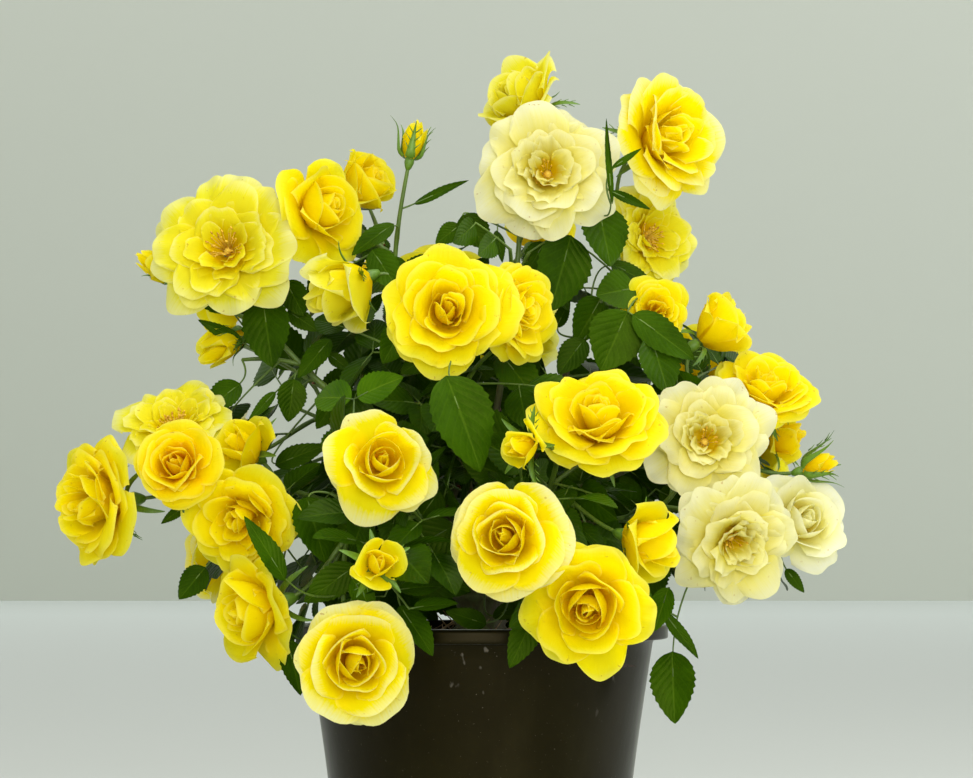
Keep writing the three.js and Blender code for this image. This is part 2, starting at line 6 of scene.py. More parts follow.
import bpy
import numpy as np
from mathutils import Matrix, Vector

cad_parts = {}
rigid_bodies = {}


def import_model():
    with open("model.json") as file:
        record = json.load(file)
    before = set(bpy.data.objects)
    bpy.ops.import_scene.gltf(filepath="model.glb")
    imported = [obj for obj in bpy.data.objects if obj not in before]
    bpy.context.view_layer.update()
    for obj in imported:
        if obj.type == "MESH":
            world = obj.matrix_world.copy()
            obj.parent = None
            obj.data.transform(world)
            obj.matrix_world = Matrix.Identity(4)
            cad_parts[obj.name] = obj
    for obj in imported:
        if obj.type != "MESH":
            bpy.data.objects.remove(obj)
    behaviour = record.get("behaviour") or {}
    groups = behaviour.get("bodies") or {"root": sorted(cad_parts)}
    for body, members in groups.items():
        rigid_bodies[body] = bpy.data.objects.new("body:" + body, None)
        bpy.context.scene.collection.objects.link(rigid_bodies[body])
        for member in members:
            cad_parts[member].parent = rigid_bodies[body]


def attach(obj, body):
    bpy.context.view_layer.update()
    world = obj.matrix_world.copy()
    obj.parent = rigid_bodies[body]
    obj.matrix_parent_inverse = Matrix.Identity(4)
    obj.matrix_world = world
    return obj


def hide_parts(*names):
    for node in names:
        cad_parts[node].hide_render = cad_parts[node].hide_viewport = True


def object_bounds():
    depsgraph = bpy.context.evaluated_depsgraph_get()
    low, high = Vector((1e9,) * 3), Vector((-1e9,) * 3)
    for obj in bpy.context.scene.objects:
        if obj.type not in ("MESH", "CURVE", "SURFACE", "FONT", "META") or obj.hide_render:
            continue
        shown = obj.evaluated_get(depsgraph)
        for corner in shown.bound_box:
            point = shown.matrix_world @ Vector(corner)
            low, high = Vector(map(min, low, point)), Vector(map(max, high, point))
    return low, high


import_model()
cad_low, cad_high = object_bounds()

MM = 0.001
GOLDEN_ANGLE = 2.39996
ANY_TURN = 6.28
BAKE_MAP = "OFBake"

# Driving dimensions, as in the model
POT_HEIGHT = 210.0
RIM_RADIUS = 112.0
LIP_HEIGHT = 8.0
LIP_OUT = 8.0
BASE_RADIUS = 80.0
POT_WALL = 2.2
POT_FLOOR = 3.0
WALL_DRAWN_IN = 3.2
SOIL_LEVEL = 201.0
SOIL_HEAP = 5.0
CLEAR = 0.3
STEM_FOOT = SOIL_LEVEL + SOIL_HEAP + CLEAR
STEM_HEIGHT = 24.0
STEM_TOP = STEM_FOOT + STEM_HEIGHT
CANE_RING_RADIUS = 10.0
CANE_RING_SEATS = 9
CANE_FOOT_RADIUS = 2.9
CANE_SIDE_RADIUS = 2.4
CANE_TIP_RADIUS = 2.1
CANE_FORK_AT = 0.46
CANE_FORK_ANGLE = 0.9
CANE_RISE = 0.42
STEM_RADIUS = 1.9
STALK_RADIUS = 1.5
STALK_TIP_RADIUS = 1.1
HUB_SHORT = 52.0

STEM_WAIST = 13.4
STEM_FLARE = 4.2
STEM_CROWN = 1.8
KNOT_EVERY = 7
CANE_PRICKLES = (16, 4.6)
TWIG_PRICKLES = (18, 4.2)
STALK_BRISTLES = (11, 1.2)

# The photograph's view: the camera stands level with the rim and looks a little up.
IMAGE_WIDTH = 973
CAMERA_PLACE = (0.0039, -1.45, 0.25)
CAMERA_PITCH = 3.98
FOCAL_PIXELS = 2417.0
SENSOR_WIDTH = 36.0
EYE_BACK = CAMERA_PLACE[1] / MM
EYE_HEIGHT = CAMERA_PLACE[2] / MM

# Each mass: the seat of its cane on the stem's ring, or the cane that it forks from and how far
# up, the cane's arch, its leafy shoots and their reach, and its roses: place of the centre,
# diameter, heading (0 is the front, 90 the right), lift, kind and shade.
MASSES = [
    dict(name="right_upper", seat=0, arch=0.10, shoots=3, reach=85, roses=[
        (145, -10, 388, 48, 84, 34, "goblet", "bright"),
        (171, -20, 351, 67, 15, 45, "full", "bright"),
        (184, 0, 322, 36, 60, 15, "half", "gold"),
        (198, -32, 303, 17, 80, 15, "bud", "gold"),
    ]),
    dict(name="back_right", seat=1, arch=0.12, shoots=3, reach=80, roses=[
        (150, 95, 372, 68, 130, 30, "classic", "bright"),
        (112, 138, 322, 60, 160, 15, "cup", "edged"),
        (180, 70, 318, 56, 105, 10, "open", "lemon"),
    ]),
    dict(name="back_middle", seat=2, arch=0.12, shoots=2, reach=85, roses=[
        (20, 155, 400, 74, 175, 25, "open", "lemon"),
        (-35, 175, 352, 62, 190, 10, "classic", "bright"),
        (48, 185, 335, 54, 165, 0, "cup", "edged"),
    ]),
    dict(name="back_left", seat=3, arch=0.12, shoots=2, reach=80, roses=[
        (-160, 112, 428, 70, 225, 20, "classic", "bright"),
        (-165, 85, 318, 64, 240, 10, "open", "cream"),
        (-72, 165, 332, 46, 200, 5, "half", "bright"),
    ]),
    dict(name="left_upper", seat=4, arch=0.12, shoots=3, reach=75, roses=[
        (-151, -40, 432, 94, -10, 8, "open", "lemon"),
        (-193, -8, 423, 22, -60, 30, "bud", "bright"),
        (-154, 2, 378, 28, -60, -30, "bud", "bright"),
    ]),
    dict(name="left", seat=5, arch=0.10, shoots=3, reach=75, roses=[
        (-177, -50, 330, 76, -10, 50, "open", "lemon"),
        (-168, -112, 302, 50, -5, 15, "classic", "gold"),
        (-223, -64, 281, 86, -55, -5, "full", "bright"),
        (-137, -70, 314, 42, -40, 25, "half", "bright"),
        (-134, -98, 271, 72, -15, -15, "full", "bright"),
    ]),
    dict(name="centre_left", seat=6, arch=0.10, shoots=5, reach=75, roses=[
        (-51, -160, 302, 63, 10, 8, "globe", "edged"),
        (-53, -172, 247, 30, 15, 10, "half", "bright"),
    ]),
    dict(name="centre_right", seat=7, arch=0.10, shoots=5, reach=75, roses=[
        (65, -130, 328, 82, 0, 35, "full", "bright"),
        (22, -165, 309, 30, -45, -5, "half", "bright"),
        (94, -140, 257, 48, 60, -16, "half", "bright"),
    ]),
    dict(name="right_cream", seat=8, arch=0.10, shoots=3, reach=75, roses=[
        (129, -80, 317, 79, 5, 10, "ruffled", "cream"),
        (144, -92, 258, 80, 20, -22, "ruffled", "cream"),
        (190, -44, 273, 63, 20, 16, "globe", "pale"),
    ]),
    dict(name="top", seat=None, arch=0.02, shoots=3, reach=80, roses=[
        (21, 12, 533, 70, -62, 32, "cup", "lemon"),
        (40, -40, 477, 89, 0, 5, "ruffled", "cream"),
    ]),
    dict(name="top_right", parent="top", at=0.42, arch=0.06, shoots=3, reach=80, roses=[
        (116, -10, 503, 92, 44, 13, "full", "edged"),
        (106, 22, 446, 75, 42, 8, "open", "lemon"),
        (104, -30, 395, 46, 10, 10, "full", "bright"),
    ]),
    dict(name="centre", parent="top", at=0.30, arch=0.04, shoots=3, reach=80, roses=[
        (-18, -112, 388, 80, 0, 8, "full", "bright"),
        (24, -88, 389, 66, 55, 0, "full", "bright"),
        (-82, -70, 402, 56, -74, -26, "half", "lemon"),
    ]),
    dict(name="upper_left", parent="left_upper", at=0.40, arch=0.08, shoots=3, reach=75, roses=[
        (-90, -30, 457, 68, 48, 12, "globe", "bright"),
        (-70, 18, 478, 50, 50, 22, "goblet", "bright"),
        (-40, -20, 497, 19, 70, 78, "bud", "bright"),
    ]),
    dict(name="lower_left", parent="left", at=0.40, arch=0.26, shoots=3, reach=60, roses=[
        (-129, -112, 220, 72, -58, -14, "globe", "bright"),
        (-65, -166, 194, 68, 10, -10, "classic", "edged"),
    ]),
    dict(name="lower_front", parent="centre_right", at=0.40, arch=0.22, shoots=4, reach=60, roses=[
        (13, -180, 261, 66, -10, 5, "classic", "edged"),
        (57, -172, 223, 78, -5, -10, "wavy", "bright"),
    ]),
    dict(name="back_top", parent="back_middle", at=0.40, arch=0.10, shoots=3, reach=80, roses=[
        (-28, 95, 420, 70, 195, 25, "classic", "bright"),
        (40, 80, 455, 52, 150, 30, "half", "bright"),
        (-70, 110, 432, 24, 215, 35, "bud", "gold"),
    ]),
    dict(name="back_low_right", parent="back_right", at=0.40, arch=0.20, shoots=3, reach=65, roses=[
        (168, 70, 257, 62, 115, -5, "cup", "bright"),
        (90, 165, 258, 70, 150, -5, "open", "lemon"),
    ]),
    dict(name="back_low_left", parent="back_left", at=0.40, arch=0.20, shoots=3, reach=65, roses=[
        (-70, 178, 252, 68, 195, -5, "cup", "bright"),
        (-172, 90, 250, 60, 245, 0, "classic", "edged"),
    ]),
]
CANE_NODES = [mass["name"] + "_cane" for mass in MASSES]
SPRAY_NODES = [mass["name"] + "_spray" for mass in MASSES]

# Leaflets that show one by one in the photo: where foot and tip stand on the upright plane through
# the pot's axis, as seen from the camera (x and z of each), then their depth, width and shade.
LEAVES_SEEN = [
    (-20, 359, 2, 302, -130, 37, "mid"),
    (12, 373, 36, 343, -60, 24, "dark"),
    (55, 444, 43, 398, -30, 38, "dark"),
    (71, 462, 80, 426, -26, 32, "mid"),
    (39, 440, 28, 421, -20, 15, "dark"),
    (73, 406, 58, 379, -15, 25, "mid"),
    (89, 398, 73, 362, -46, 34, "mid"),
    (92, 396, 130, 369, -50, 21, "mid"),
    (103, 382, 114, 348, -48, 30, "mid"),
    (94, 412, 70, 408, -30, 27, "mid"),
    (79, 427, 104, 414, -10, 15, "dark"),
    (63, 381, 47, 360, -20, 18, "dark"),
    (-11, 456, 5, 436, -20, 20, "dark"),
    (-12, 450, -27, 439, -20, 14, "mid"),
    (-40, 463, -7, 478, -18, 7, "dark"),
    (-131, 406, -125, 364, -26, 29, "dark"),
    (-117, 416, -106, 395, -20, 18, "dark"),
    (-144, 354, -166, 338, -20, 22, "mid"),
    (-112, 357, -115, 331, -30, 19, "mid"),
    (-90, 381, -110, 358, -20, 15, "mid"),
    (-81, 355, -98, 327, -30, 18, "mid"),
    (-123, 349, -139, 332, -25, 8, "mid"),
    (-104, 286, -92, 247, -102, 29, "mid"),
    (-116, 236, -140, 275, -142, 15, "mid"),
    (-74, 245, -105, 223, -120, 18, "mid"),
    (-76, 237, -62, 216, -130, 14, "young"),
    (-48, 240, -5, 230, -120, 26, "dark"),
    (-15, 269, -49, 250, -106, 24, "dark"),
    (-24, 290, -46, 259, -96, 23, "dark"),
    (34, 218, 18, 184, -122, 18, "mid"),
    (4, 210, -20, 218, -96, 12, "dark"),
    (-48, 221, -27, 192, -123, 20, "mid"),
    (115, 194, 116, 151, -60, 29, "mid"),
    (110, 217, 131, 190, -60, 9, "mid"),
    (113, 232, 104, 206, -70, 14, "young"),
    (183, 243, 194, 229, -50, 8, "dark"),
    (-115, 201, -106, 168, -110, 16, "dark"),
    (-164, 244, -180, 225, -70, 18, "dark"),
    (-176, 281, -191, 270, -60, 7, "mid"),
    (-143, 379, -170, 393, -5, 9, "mid"),
    (-52, 451, -78, 433, -25, 15, "mid"),
    (-65, 435, -48, 410, -62, 18, "mid"),
    (80, 463, 76, 516, -58, 4, "mid"),
    (80, 485, 98, 497, -58, 4, "mid"),
    (79, 471, 103, 460, -58, 6, "dark"),
]
# Leaflets behind those and the roses, which close the bush where the photo shows no wall
LEAVES_BEHIND = [
    (-123, 305, -92, 318, -10, 15, "mid"),
    (-116, 398, -97, 386, -20, 13, "mid"),
    (-68, 396, -58, 409, 0, 9, "mid"),
    (46, 388, 54, 405, 0, 9, "dark"),
    (-30, 248, -10, 243, -60, 12, "dark"),
    (-45, 226, -27, 219, -60, 11, "dark"),
    (-92, 236, -70, 218, -50, 16, "dark"),
    (10, 447, 14, 428, -20, 8, "mid"),
    (8, 214, 31, 226, -60, 10, "dark"),
    (-91, 372, -78, 362, -10, 9, "mid"),
    (-95, 233, -70, 217, 60, 20, "dark"),
    (-62, 231, -38, 215, 70, 22, "dark"),
    (-30, 233, -8, 215, 60, 22, "dark"),
    (6, 237, -14, 217, 78, 20, "dark"),
    (10, 233, 32, 215, 66, 22, "dark"),
    (46, 231, 62, 213, 58, 20, "mid"),
    (-49, 230, -25, 213, 86, 18, "dark"),
    (24, 228, 12, 210, 86, 16, "dark"),
]
# Places on the same plane where the photo shows the wall or the bare pot: x, z and radius
OPEN_SKY = [
    (-96, 501, 13), (-74, 499, 8), (-123, 476, 8), (-63, 494, 6), (-24, 473, 23), (-36, 449, 9),
    (-48, 470, 5), (-50, 440, 5), (21, 431, 9), (48, 389, 8), (47, 369, 5), (71, 419, 5),
    (-177, 383, 17), (-186, 404, 8), (-159, 363, 7), (-141, 362, 7), (-138, 344, 6),
    (-108, 325, 16), (-114, 386, 5), (-97, 363, 5), (-129, 353, 4), (126, 404, 5), (218, 296, 13),
    (201, 329, 7), (147, 200, 26), (183, 218, 12), (126, 221, 6), (132, 170, 30), (-222, 242, 9),
    (-186, 265, 8), (-178, 254, 6), (-112, 255, 5), (-22, 182, 22), (8, 192, 8), (-112, 488, 14),
    (225, 320, 14), (160, 420, 30), (40, 545, 12), (-205, 350, 14),
]

# How a rose of each kind opens. Lengths are shares of its diameter and angles are degrees from
# its axis. Each row runs from the outermost petal to the innermost: length and width of a petal,
# its lean at the foot, its spread at the rim, how far the rim folds back, how strongly the petal
# is curved across, how much of that curve its rim keeps, how much its rim narrows and how
# strongly it waves. A ruffled heart begins at a share of the petals and turns them so far.
FORMS = {
    "open": dict(
        petals=36, foot=-0.15, back=0.24, heart=(0.60, 1.0),
        length=(0.50, 0.48, 0.41, 0.30, 0.22), width=(0.40, 0.38, 0.33, 0.24, 0.16),
        lean=(62, 60, 55, 48, 42), spread=(97, 90, 74, 48, 30),
        reflex=(12, 12, 8, 4, 0), cup=(0.5, 0.7, 1.2, 1.8, 2.2),
        hold=(0.3, 0.3, 0.4, 0.6, 0.8), taper=(0.04, 0.05, 0.08, 0.1, 0.15),
        ruffle=(2.1, 2.0, 2.2, 2.2, 2.0),
    ),
    "ruffled": dict(
        petals=40, foot=-0.13, back=0.24, heart=(0.60, 1.0),
        length=(0.50, 0.48, 0.40, 0.27, 0.22), width=(0.40, 0.38, 0.33, 0.24, 0.15),
        lean=(62, 60, 52, 36, 22), spread=(97, 90, 70, 30, 24),
        reflex=(12, 12, 10, 10, 16), cup=(0.5, 0.7, 1.2, 2.0, 3.0),
        hold=(0.3, 0.3, 0.4, 0.6, 0.8), taper=(0.04, 0.05, 0.08, 0.1, 0.15),
        ruffle=(2.1, 2.0, 2.2, 2.6, 3.0),
    ),
    "full": dict(
        petals=35, foot=-0.24, back=0.30, heart=(0.60, 1.0),
        length=(0.53, 0.51, 0.46, 0.41, 0.39), width=(0.50, 0.47, 0.41, 0.32, 0.20),
        lean=(46, 46, 44, 32, 4), spread=(95, 80, 46, 8, -8),
        reflex=(14, 16, 14, 8, 0), cup=(0.5, 0.9, 1.8, 2.5, 3.8),
        hold=(0.3, 0.35, 0.5, 0.8, 1.0), taper=(0.04, 0.05, 0.08, 0.12, 0.2),
        ruffle=(1.1, 1.1, 1.2, 1.4, 1.6),
    ),
    "classic": dict(
        petals=25, foot=-0.28, back=0.30, heart=(0.70, 0.4),
        length=(0.57, 0.55, 0.53, 0.51, 0.49), width=(0.66, 0.63, 0.58, 0.42, 0.18),
        lean=(46, 46, 46, 34, 4), spread=(94, 62, 4, -22, -12),
        reflex=(20, 24, 16, 10, 4), cup=(0.6, 1.1, 2.2, 3.1, 5.2),
        hold=(0.3, 0.35, 0.7, 0.95, 1.1), taper=(0.04, 0.05, 0.1, 0.16, 0.2),
        ruffle=(1.2, 1.0, 0.8, 0.9, 1.2),
    ),
    "cup": dict(
        petals=25, foot=-0.30, back=0.34, heart=(0.74, 0.7),
        length=(0.57, 0.55, 0.53, 0.50, 0.48), width=(0.52, 0.54, 0.56, 0.48, 0.30),
        lean=(46, 46, 48, 42, 20), spread=(88, 62, 14, -24, -22),
        reflex=(24, 18, 10, 4, 0), cup=(0.6, 1.2, 2.2, 3.0, 3.6),
        hold=(0.3, 0.4, 0.7, 0.95, 1.1), taper=(0.04, 0.05, 0.1, 0.16, 0.25),
        ruffle=(1.3, 1.1, 0.8, 0.6, 0.6),
    ),
    "globe": dict(
        petals=20, foot=-0.28, back=0.32,
        length=(0.57, 0.55, 0.50, 0.45, 0.39), width=(0.54, 0.56, 0.60, 0.48, 0.20),
        lean=(46, 48, 54, 44, 5), spread=(92, 76, -4, -20, -10),
        reflex=(20, 18, 4, 0, 0), cup=(0.7, 1.0, 2.1, 3.1, 5.2),
        hold=(0.3, 0.35, 0.9, 1.1, 1.2), taper=(0.04, 0.05, 0.10, 0.16, 0.2),
        ruffle=(1.7, 1.5, 0.5, 0.3, 0.3),
    ),
    "wavy": dict(
        petals=26, foot=-0.26, back=0.32,
        length=(0.53, 0.51, 0.47, 0.43, 0.38), width=(0.46, 0.44, 0.52, 0.46, 0.20),
        lean=(52, 52, 54, 44, 5), spread=(96, 86, 8, -20, -10),
        reflex=(14, 16, 6, 0, 0), cup=(0.6, 0.9, 2.0, 3.1, 5.2),
        hold=(0.3, 0.3, 0.85, 1.1, 1.2), taper=(0.02, 0.04, 0.10, 0.16, 0.2),
        ruffle=(2.3, 2.1, 0.9, 0.4, 0.3),
    ),
    "goblet": dict(
        petals=13, foot=-0.34, back=0.34,
        length=(0.68, 0.70, 0.70, 0.68, 0.64), width=(0.92, 0.94, 0.84, 0.64, 0.42),
        lean=(52, 46, 38, 26, 12), spread=(16, 2, -10, -18, -16),
        reflex=(26, 16, 8, 4, 0), cup=(1.7, 2.2, 2.7, 3.4, 4.4),
        hold=(0.6, 0.75, 0.95, 1.1, 1.3), taper=(-0.02, 0.0, 0.08, 0.2, 0.3),
        ruffle=(1.0, 0.7, 0.4, 0.3, 0.3),
    ),
    "half": dict(
        petals=12, foot=-0.38, back=0.36,
        length=(0.66, 0.70, 0.74, 0.74, 0.70), width=(0.80, 0.82, 0.78, 0.62, 0.42),
        lean=(46, 42, 36, 26, 12), spread=(58, 12, -12, -20, -18),
        reflex=(24, 24, 12, 6, 0), cup=(0.8, 1.6, 2.7, 3.4, 4.4),
        hold=(0.4, 0.55, 0.9, 1.1, 1.3), taper=(0.10, 0.14, 0.20, 0.28, 0.35),
        ruffle=(0.7, 0.5, 0.3, 0.3, 0.3),
    ),
    "bud": dict(
        petals=7, foot=-0.60, back=0.60,
        length=(1.22, 1.30, 1.36, 1.38, 1.36), width=(1.05, 1.02, 0.94, 0.82, 0.66),
        lean=(34, 32, 28, 22, 16), spread=(-6, -12, -18, -20, -18),
        reflex=(14, 8, 2, 0, 0), cup=(2.8, 3.0, 3.3, 3.6, 4.0),
        hold=(0.9, 1.0, 1.1, 1.2, 1.3), taper=(0.45, 0.5, 0.55, 0.6, 0.65),
        ruffle=(0.4, 0.3, 0.2, 0.2, 0.2),
    ),
}
PLAIN_HEART = (1.0, 0.0)
FORM_ROWS = ("length", "width", "lean", "spread", "reflex", "cup", "hold", "taper", "ruffle")
# Petal colours from foot to rim, as linear red, green and blue
SHADES = {
    "bright": ((0.97, 0.72, 0.0), (0.96, 0.79, 0.0), (0.95, 0.82, 0.001), (0.95, 0.88, 0.03)),
    "gold": ((0.95, 0.56, 0.0), (0.95, 0.70, 0.0), (0.95, 0.77, 0.0), (0.95, 0.83, 0.02)),
    "edged": ((0.97, 0.72, 0.0), (0.96, 0.80, 0.0), (0.95, 0.84, 0.002), (0.94, 0.92, 0.42)),
    "lemon": ((0.92, 0.66, 0.0), (0.89, 0.78, 0.0), (0.88, 0.82, 0.03), (0.90, 0.89, 0.34)),
    "pale": ((0.91, 0.74, 0.03), (0.90, 0.85, 0.30), (0.91, 0.89, 0.56), (0.93, 0.93, 0.74)),
    "cream": ((0.90, 0.68, 0.0), (0.87, 0.79, 0.10), (0.87, 0.83, 0.37), (0.90, 0.89, 0.63)),
}
PALE_SHADES = ("lemon", "pale", "cream")
PETAL_TILES = 4
# A pale line round each petal's rim: partly the petal's own paler rim, partly painted highlight where
# rims catch light
RIM_LINE_AND_HIGHLIGHT = (0.94, 0.90, 0.30)
WORN_PETAL = (0.50, 0.27, 0.03)
SMALL_ROSE = 45
WAVY_KINDS = ("open", "ruffled", "wavy")
TIGHT_KINDS = ("classic", "globe", "wavy")
STAMEN_KINDS = ("open", "ruffled")
# Sepals by kind of rose: how deep their foot is sunk into it, their lean at the foot and their
# spread at the tip in degrees, and how far the tip itself turns
SEPALS = {"bud": (0.16, 66, 10, (15, 55)), "half": (0.07, 62, 78, (-20, 30))}
BLOWN_SEPALS = (-0.02, 80, 128, (-20, 30))
SEPAL_TURN = 1.2566

# Leaf colours in shadow and light, their veins' colour and their roughness
LEAF_LOOKS = {
    "dark": ((0.009, 0.030, 0.0003), (0.023, 0.064, 0.0007), (0.07, 0.14, 0.006), 0.36),
    "mid": ((0.013, 0.041, 0.0003), (0.031, 0.082, 0.0009), (0.09, 0.17, 0.008), 0.38),
    "young": ((0.023, 0.073, 0.0006), (0.050, 0.126, 0.0016), (0.16, 0.26, 0.015), 0.40),
}
SHADE_SHARES = {"dark": 0.57, "mid": 0.38, "young": 0.05}
LEAFLET_ROWS = 23
LEAFLET_COLUMNS = (-1, -0.62, -0.28, 0, 0.28, 0.62, 1)
SIDE_VEINS = 8.0
LEAF_SIZES = (28, 43)
TWO_PAIRS_SHARE = 0.75
# A compound leaf in shares of its last leaflet: where its pairs and the last one stand
FIRST_PAIR, PAIR_STEP, LAST_LEAFLET = 0.42, 0.55, 0.51
PAIR_ANGLE = 1.22
LEAF_PROUD = 7.0
LEAF_LOWEST = SOIL_LEVEL - 25
SKY_MARGIN = 4.0
# How leaves stand along a twig of each kind: from and to which share of it, and how far apart
LEAF_SPACING = {"stem": (0.06, 1.0, 8.5), "shoot": (0.08, 1.0, 9.0), "stalk": (0.12, 0.60, 12.0)}
CANE_LEAVES_FROM = 0.35
CANE_LEAVES_APART = 11
STATIONS = 24
NEAR_PLACES = 120

# Waves of the soil: height, length, phase and turns. Then its loose bits.
CLODS = ((0.8, 9, 1, 7), (0.6, 5, 2, 13), (0.5, 3, 4, 23))
SOIL_BITS = 520
STRAW_EVERY = 6
POT_SIDES = 144

# The hall in metres, and each lamp: its place and size in metres, its watts and its colour
WALL_AWAY = 12.5
WALL_HEIGHT = 22.0
HALL = 16.0
LAMPS = {
    "overhead": ((0.45, -0.7, 2.2), 1.8, 26, (0.97, 0.99, 1.0)),
    "front_fill": ((0.2, -2.6, 0.5), 2.2, 57, (1.0, 0.99, 0.97)),
    "window_side": ((2.6, 0.5, 0.8), 1.6, 20, (0.98, 1.0, 0.98)),
}
LAMP_TARGET = (0, 0, 0.33)
BRIGHT_SIDE = (0.45, 0.80, 0.40)

SEEDS = dict(soil=3, stem=7, canes=40, leaves_seen=61, leaves_behind=62, shoots=100, leaves=500,
             twigs=700, roses=900)


def draws(what, index=0):
    return np.random.default_rng(SEEDS[what] + index)


class Seeded:
    """The model's seeded random numbers, so that shoots and leaves leave at the same places."""

    def __init__(self, seed):
        self.state = seed

    def __call__(self):
        self.state = (self.state + 0x6D2B79F5) & 0xFFFFFFFF
        t = self.state
        t = ((t ^ (t >> 15)) * (t | 1)) & 0xFFFFFFFF
        t ^= (t + ((t ^ (t >> 7)) * (t | 61))) & 0xFFFFFFFF
        return ((t ^ (t >> 14)) & 0xFFFFFFFF) / 4294967296


# Vectors and curves

def vec(*xyz):
    return np.array(xyz, float)


UP = vec(0, 0, 1)


def unit(v):
    return v / (np.linalg.norm(v) + 1e-12)


def heading(azimuth, lift):
    a, e = math.radians(azimuth), math.radians(lift)
    return vec(math.sin(a) * math.cos(e), -math.cos(a) * math.cos(e), math.sin(e))


def turned(v, axis, angle):
    """A vector turned about a unit axis."""
    c, s = math.cos(angle), math.sin(angle)
    return v * c + np.cross(axis, v) * s + axis * (axis @ v) * (1 - c)


def level(angle):
    """The level direction at an angle."""
    return vec(math.cos(angle), math.sin(angle), 0)


def square_to(axis, v):
    """The direction of a vector without its part along an axis."""
    return unit(v - axis * (v @ axis))


def frame_of(face):
    """Two directions square to a facing direction, and that direction, as rows."""
    across = square_to(face, vec(1, 0, 0) if abs(face[2]) > 0.9 else UP)
    return np.array([across, np.cross(face, across), face])


def spun(points, angle):
    """Points turned about the upright axis, by one angle or by one for each row."""
    x, y, z = np.moveaxis(points, -1, 0)
    c, s = np.cos(angle), np.sin(angle)
    return np.stack([x * c - y * s, x * s + y * c, z], -1)


class Curve:
    """A Bezier curve of any degree."""

    def __init__(self, *controls):
        self.controls = [np.asarray(c, float) for c in controls]

    def at(self, t):
        points = self.controls
        while len(points) > 1:
            points = [a + (b - a) * t for a, b in zip(points, points[1:])]
        return points[0]

    def tangent(self, t):
        steps = [b - a for a, b in zip(self.controls, self.controls[1:])]
        return unit(Curve(*steps).at(t))

    def samples(self, count):
        return np.array([self.at(i / (count - 1)) for i in range(count)])

    def length(self):
        return float(np.linalg.norm(np.diff(self.samples(13), axis=0), axis=1).sum())


def smooth(x, low, high):
    t = np.clip((x - low) / (high - low), 0, 1)
    return t * t * (3 - 2 * t)


# Meshes

def put_in_scene(name, data):
    made = bpy.data.objects.new(name, data)
    bpy.context.scene.collection.objects.link(made)
    return made


class Heap:
    """Points, faces and map places of many small parts that become one piece."""

    def __init__(self):
        self.points = []
        self.faces = []
        self.maps = []
        self.count = 0

    def add(self, points, faces, maps=None):
        points = np.asarray(points, float).reshape(-1, 3)
        self.points.append(points)
        self.faces.extend((np.asarray(faces) + self.count).tolist())
        self.maps.append(np.zeros((len(points), 2)) if maps is None else maps.reshape(-1, 2))
        self.count += len(points)

    def grid(self, points, maps=None, closed=False):
        """A sheet of rows and columns; closed joins the last column to the first."""
        rows, cols = points.shape[:2]
        index = np.arange(rows * cols).reshape(rows, cols)
        here = index if closed else index[:, :-1]
        beside = np.roll(index, -1, axis=1) if closed else index[:, 1:]
        quads = np.stack([here[:-1], beside[:-1], beside[1:], here[1:]], -1).reshape(-1, 4)
        self.add(points, quads, maps)

    def tube(self, points, radii, sides, rough=None):
        """A tube along a line of points, with a pointed cap at both ends."""
        points = np.asarray(points, float)
        radii = np.broadcast_to(np.asarray(radii, float), len(points))
        along = np.gradient(points, axis=0)
        along /= np.linalg.norm(along, axis=1)[:, None] + 1e-12
        side = frame_of(along[0])[0]
        angles = np.arange(sides) * 2 * math.pi / sides
        rings = np.zeros((len(points), sides, 3))
        for i, (centre, direction) in enumerate(zip(points, along)):
            side = square_to(direction, side)
            other = np.cross(direction, side)
            radius = radii[i] * (np.ones(sides) if rough is None else rough[i])
            rings[i] = centre + np.outer(np.cos(angles) * radius, side)
            rings[i] += np.outer(np.sin(angles) * radius, other)
        start = self.count
        self.grid(rings, closed=True)
        tips = [points[0] - along[0] * radii[0] * 0.4, points[-1] + along[-1] * radii[-1] * 0.6]
        first = start - self.count
        last = -sides
        fans = [(first + (k + 1) % sides, first + k, 0) for k in range(sides)]
        fans += [(last + k, last + (k + 1) % sides, 1) for k in range(sides)]
        self.add(tips, fans)

    def piece(self, name, material, slot, nodes=(), smooth_faces=True):
        mesh = bpy.data.meshes.new(name)
        mesh.from_pydata(np.concatenate(self.points) * MM, [], self.faces)
        places = np.concatenate(self.maps)
        if places.any():
            corners = np.zeros(len(mesh.loops), np.int32)
            mesh.loops.foreach_get("vertex_index", corners)
            layer = mesh.uv_layers.new(name=BAKE_MAP)
            layer.data.foreach_set("uv", places[corners].astype(np.float32).ravel())
        mesh.polygons.foreach_set("use_smooth", [smooth_faces] * len(mesh.polygons))
        mesh.materials.append(material)
        mesh.update()
        made = put_in_scene(name, mesh)
        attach(made, "root")
        if nodes:
            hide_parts(*nodes)


# Materials

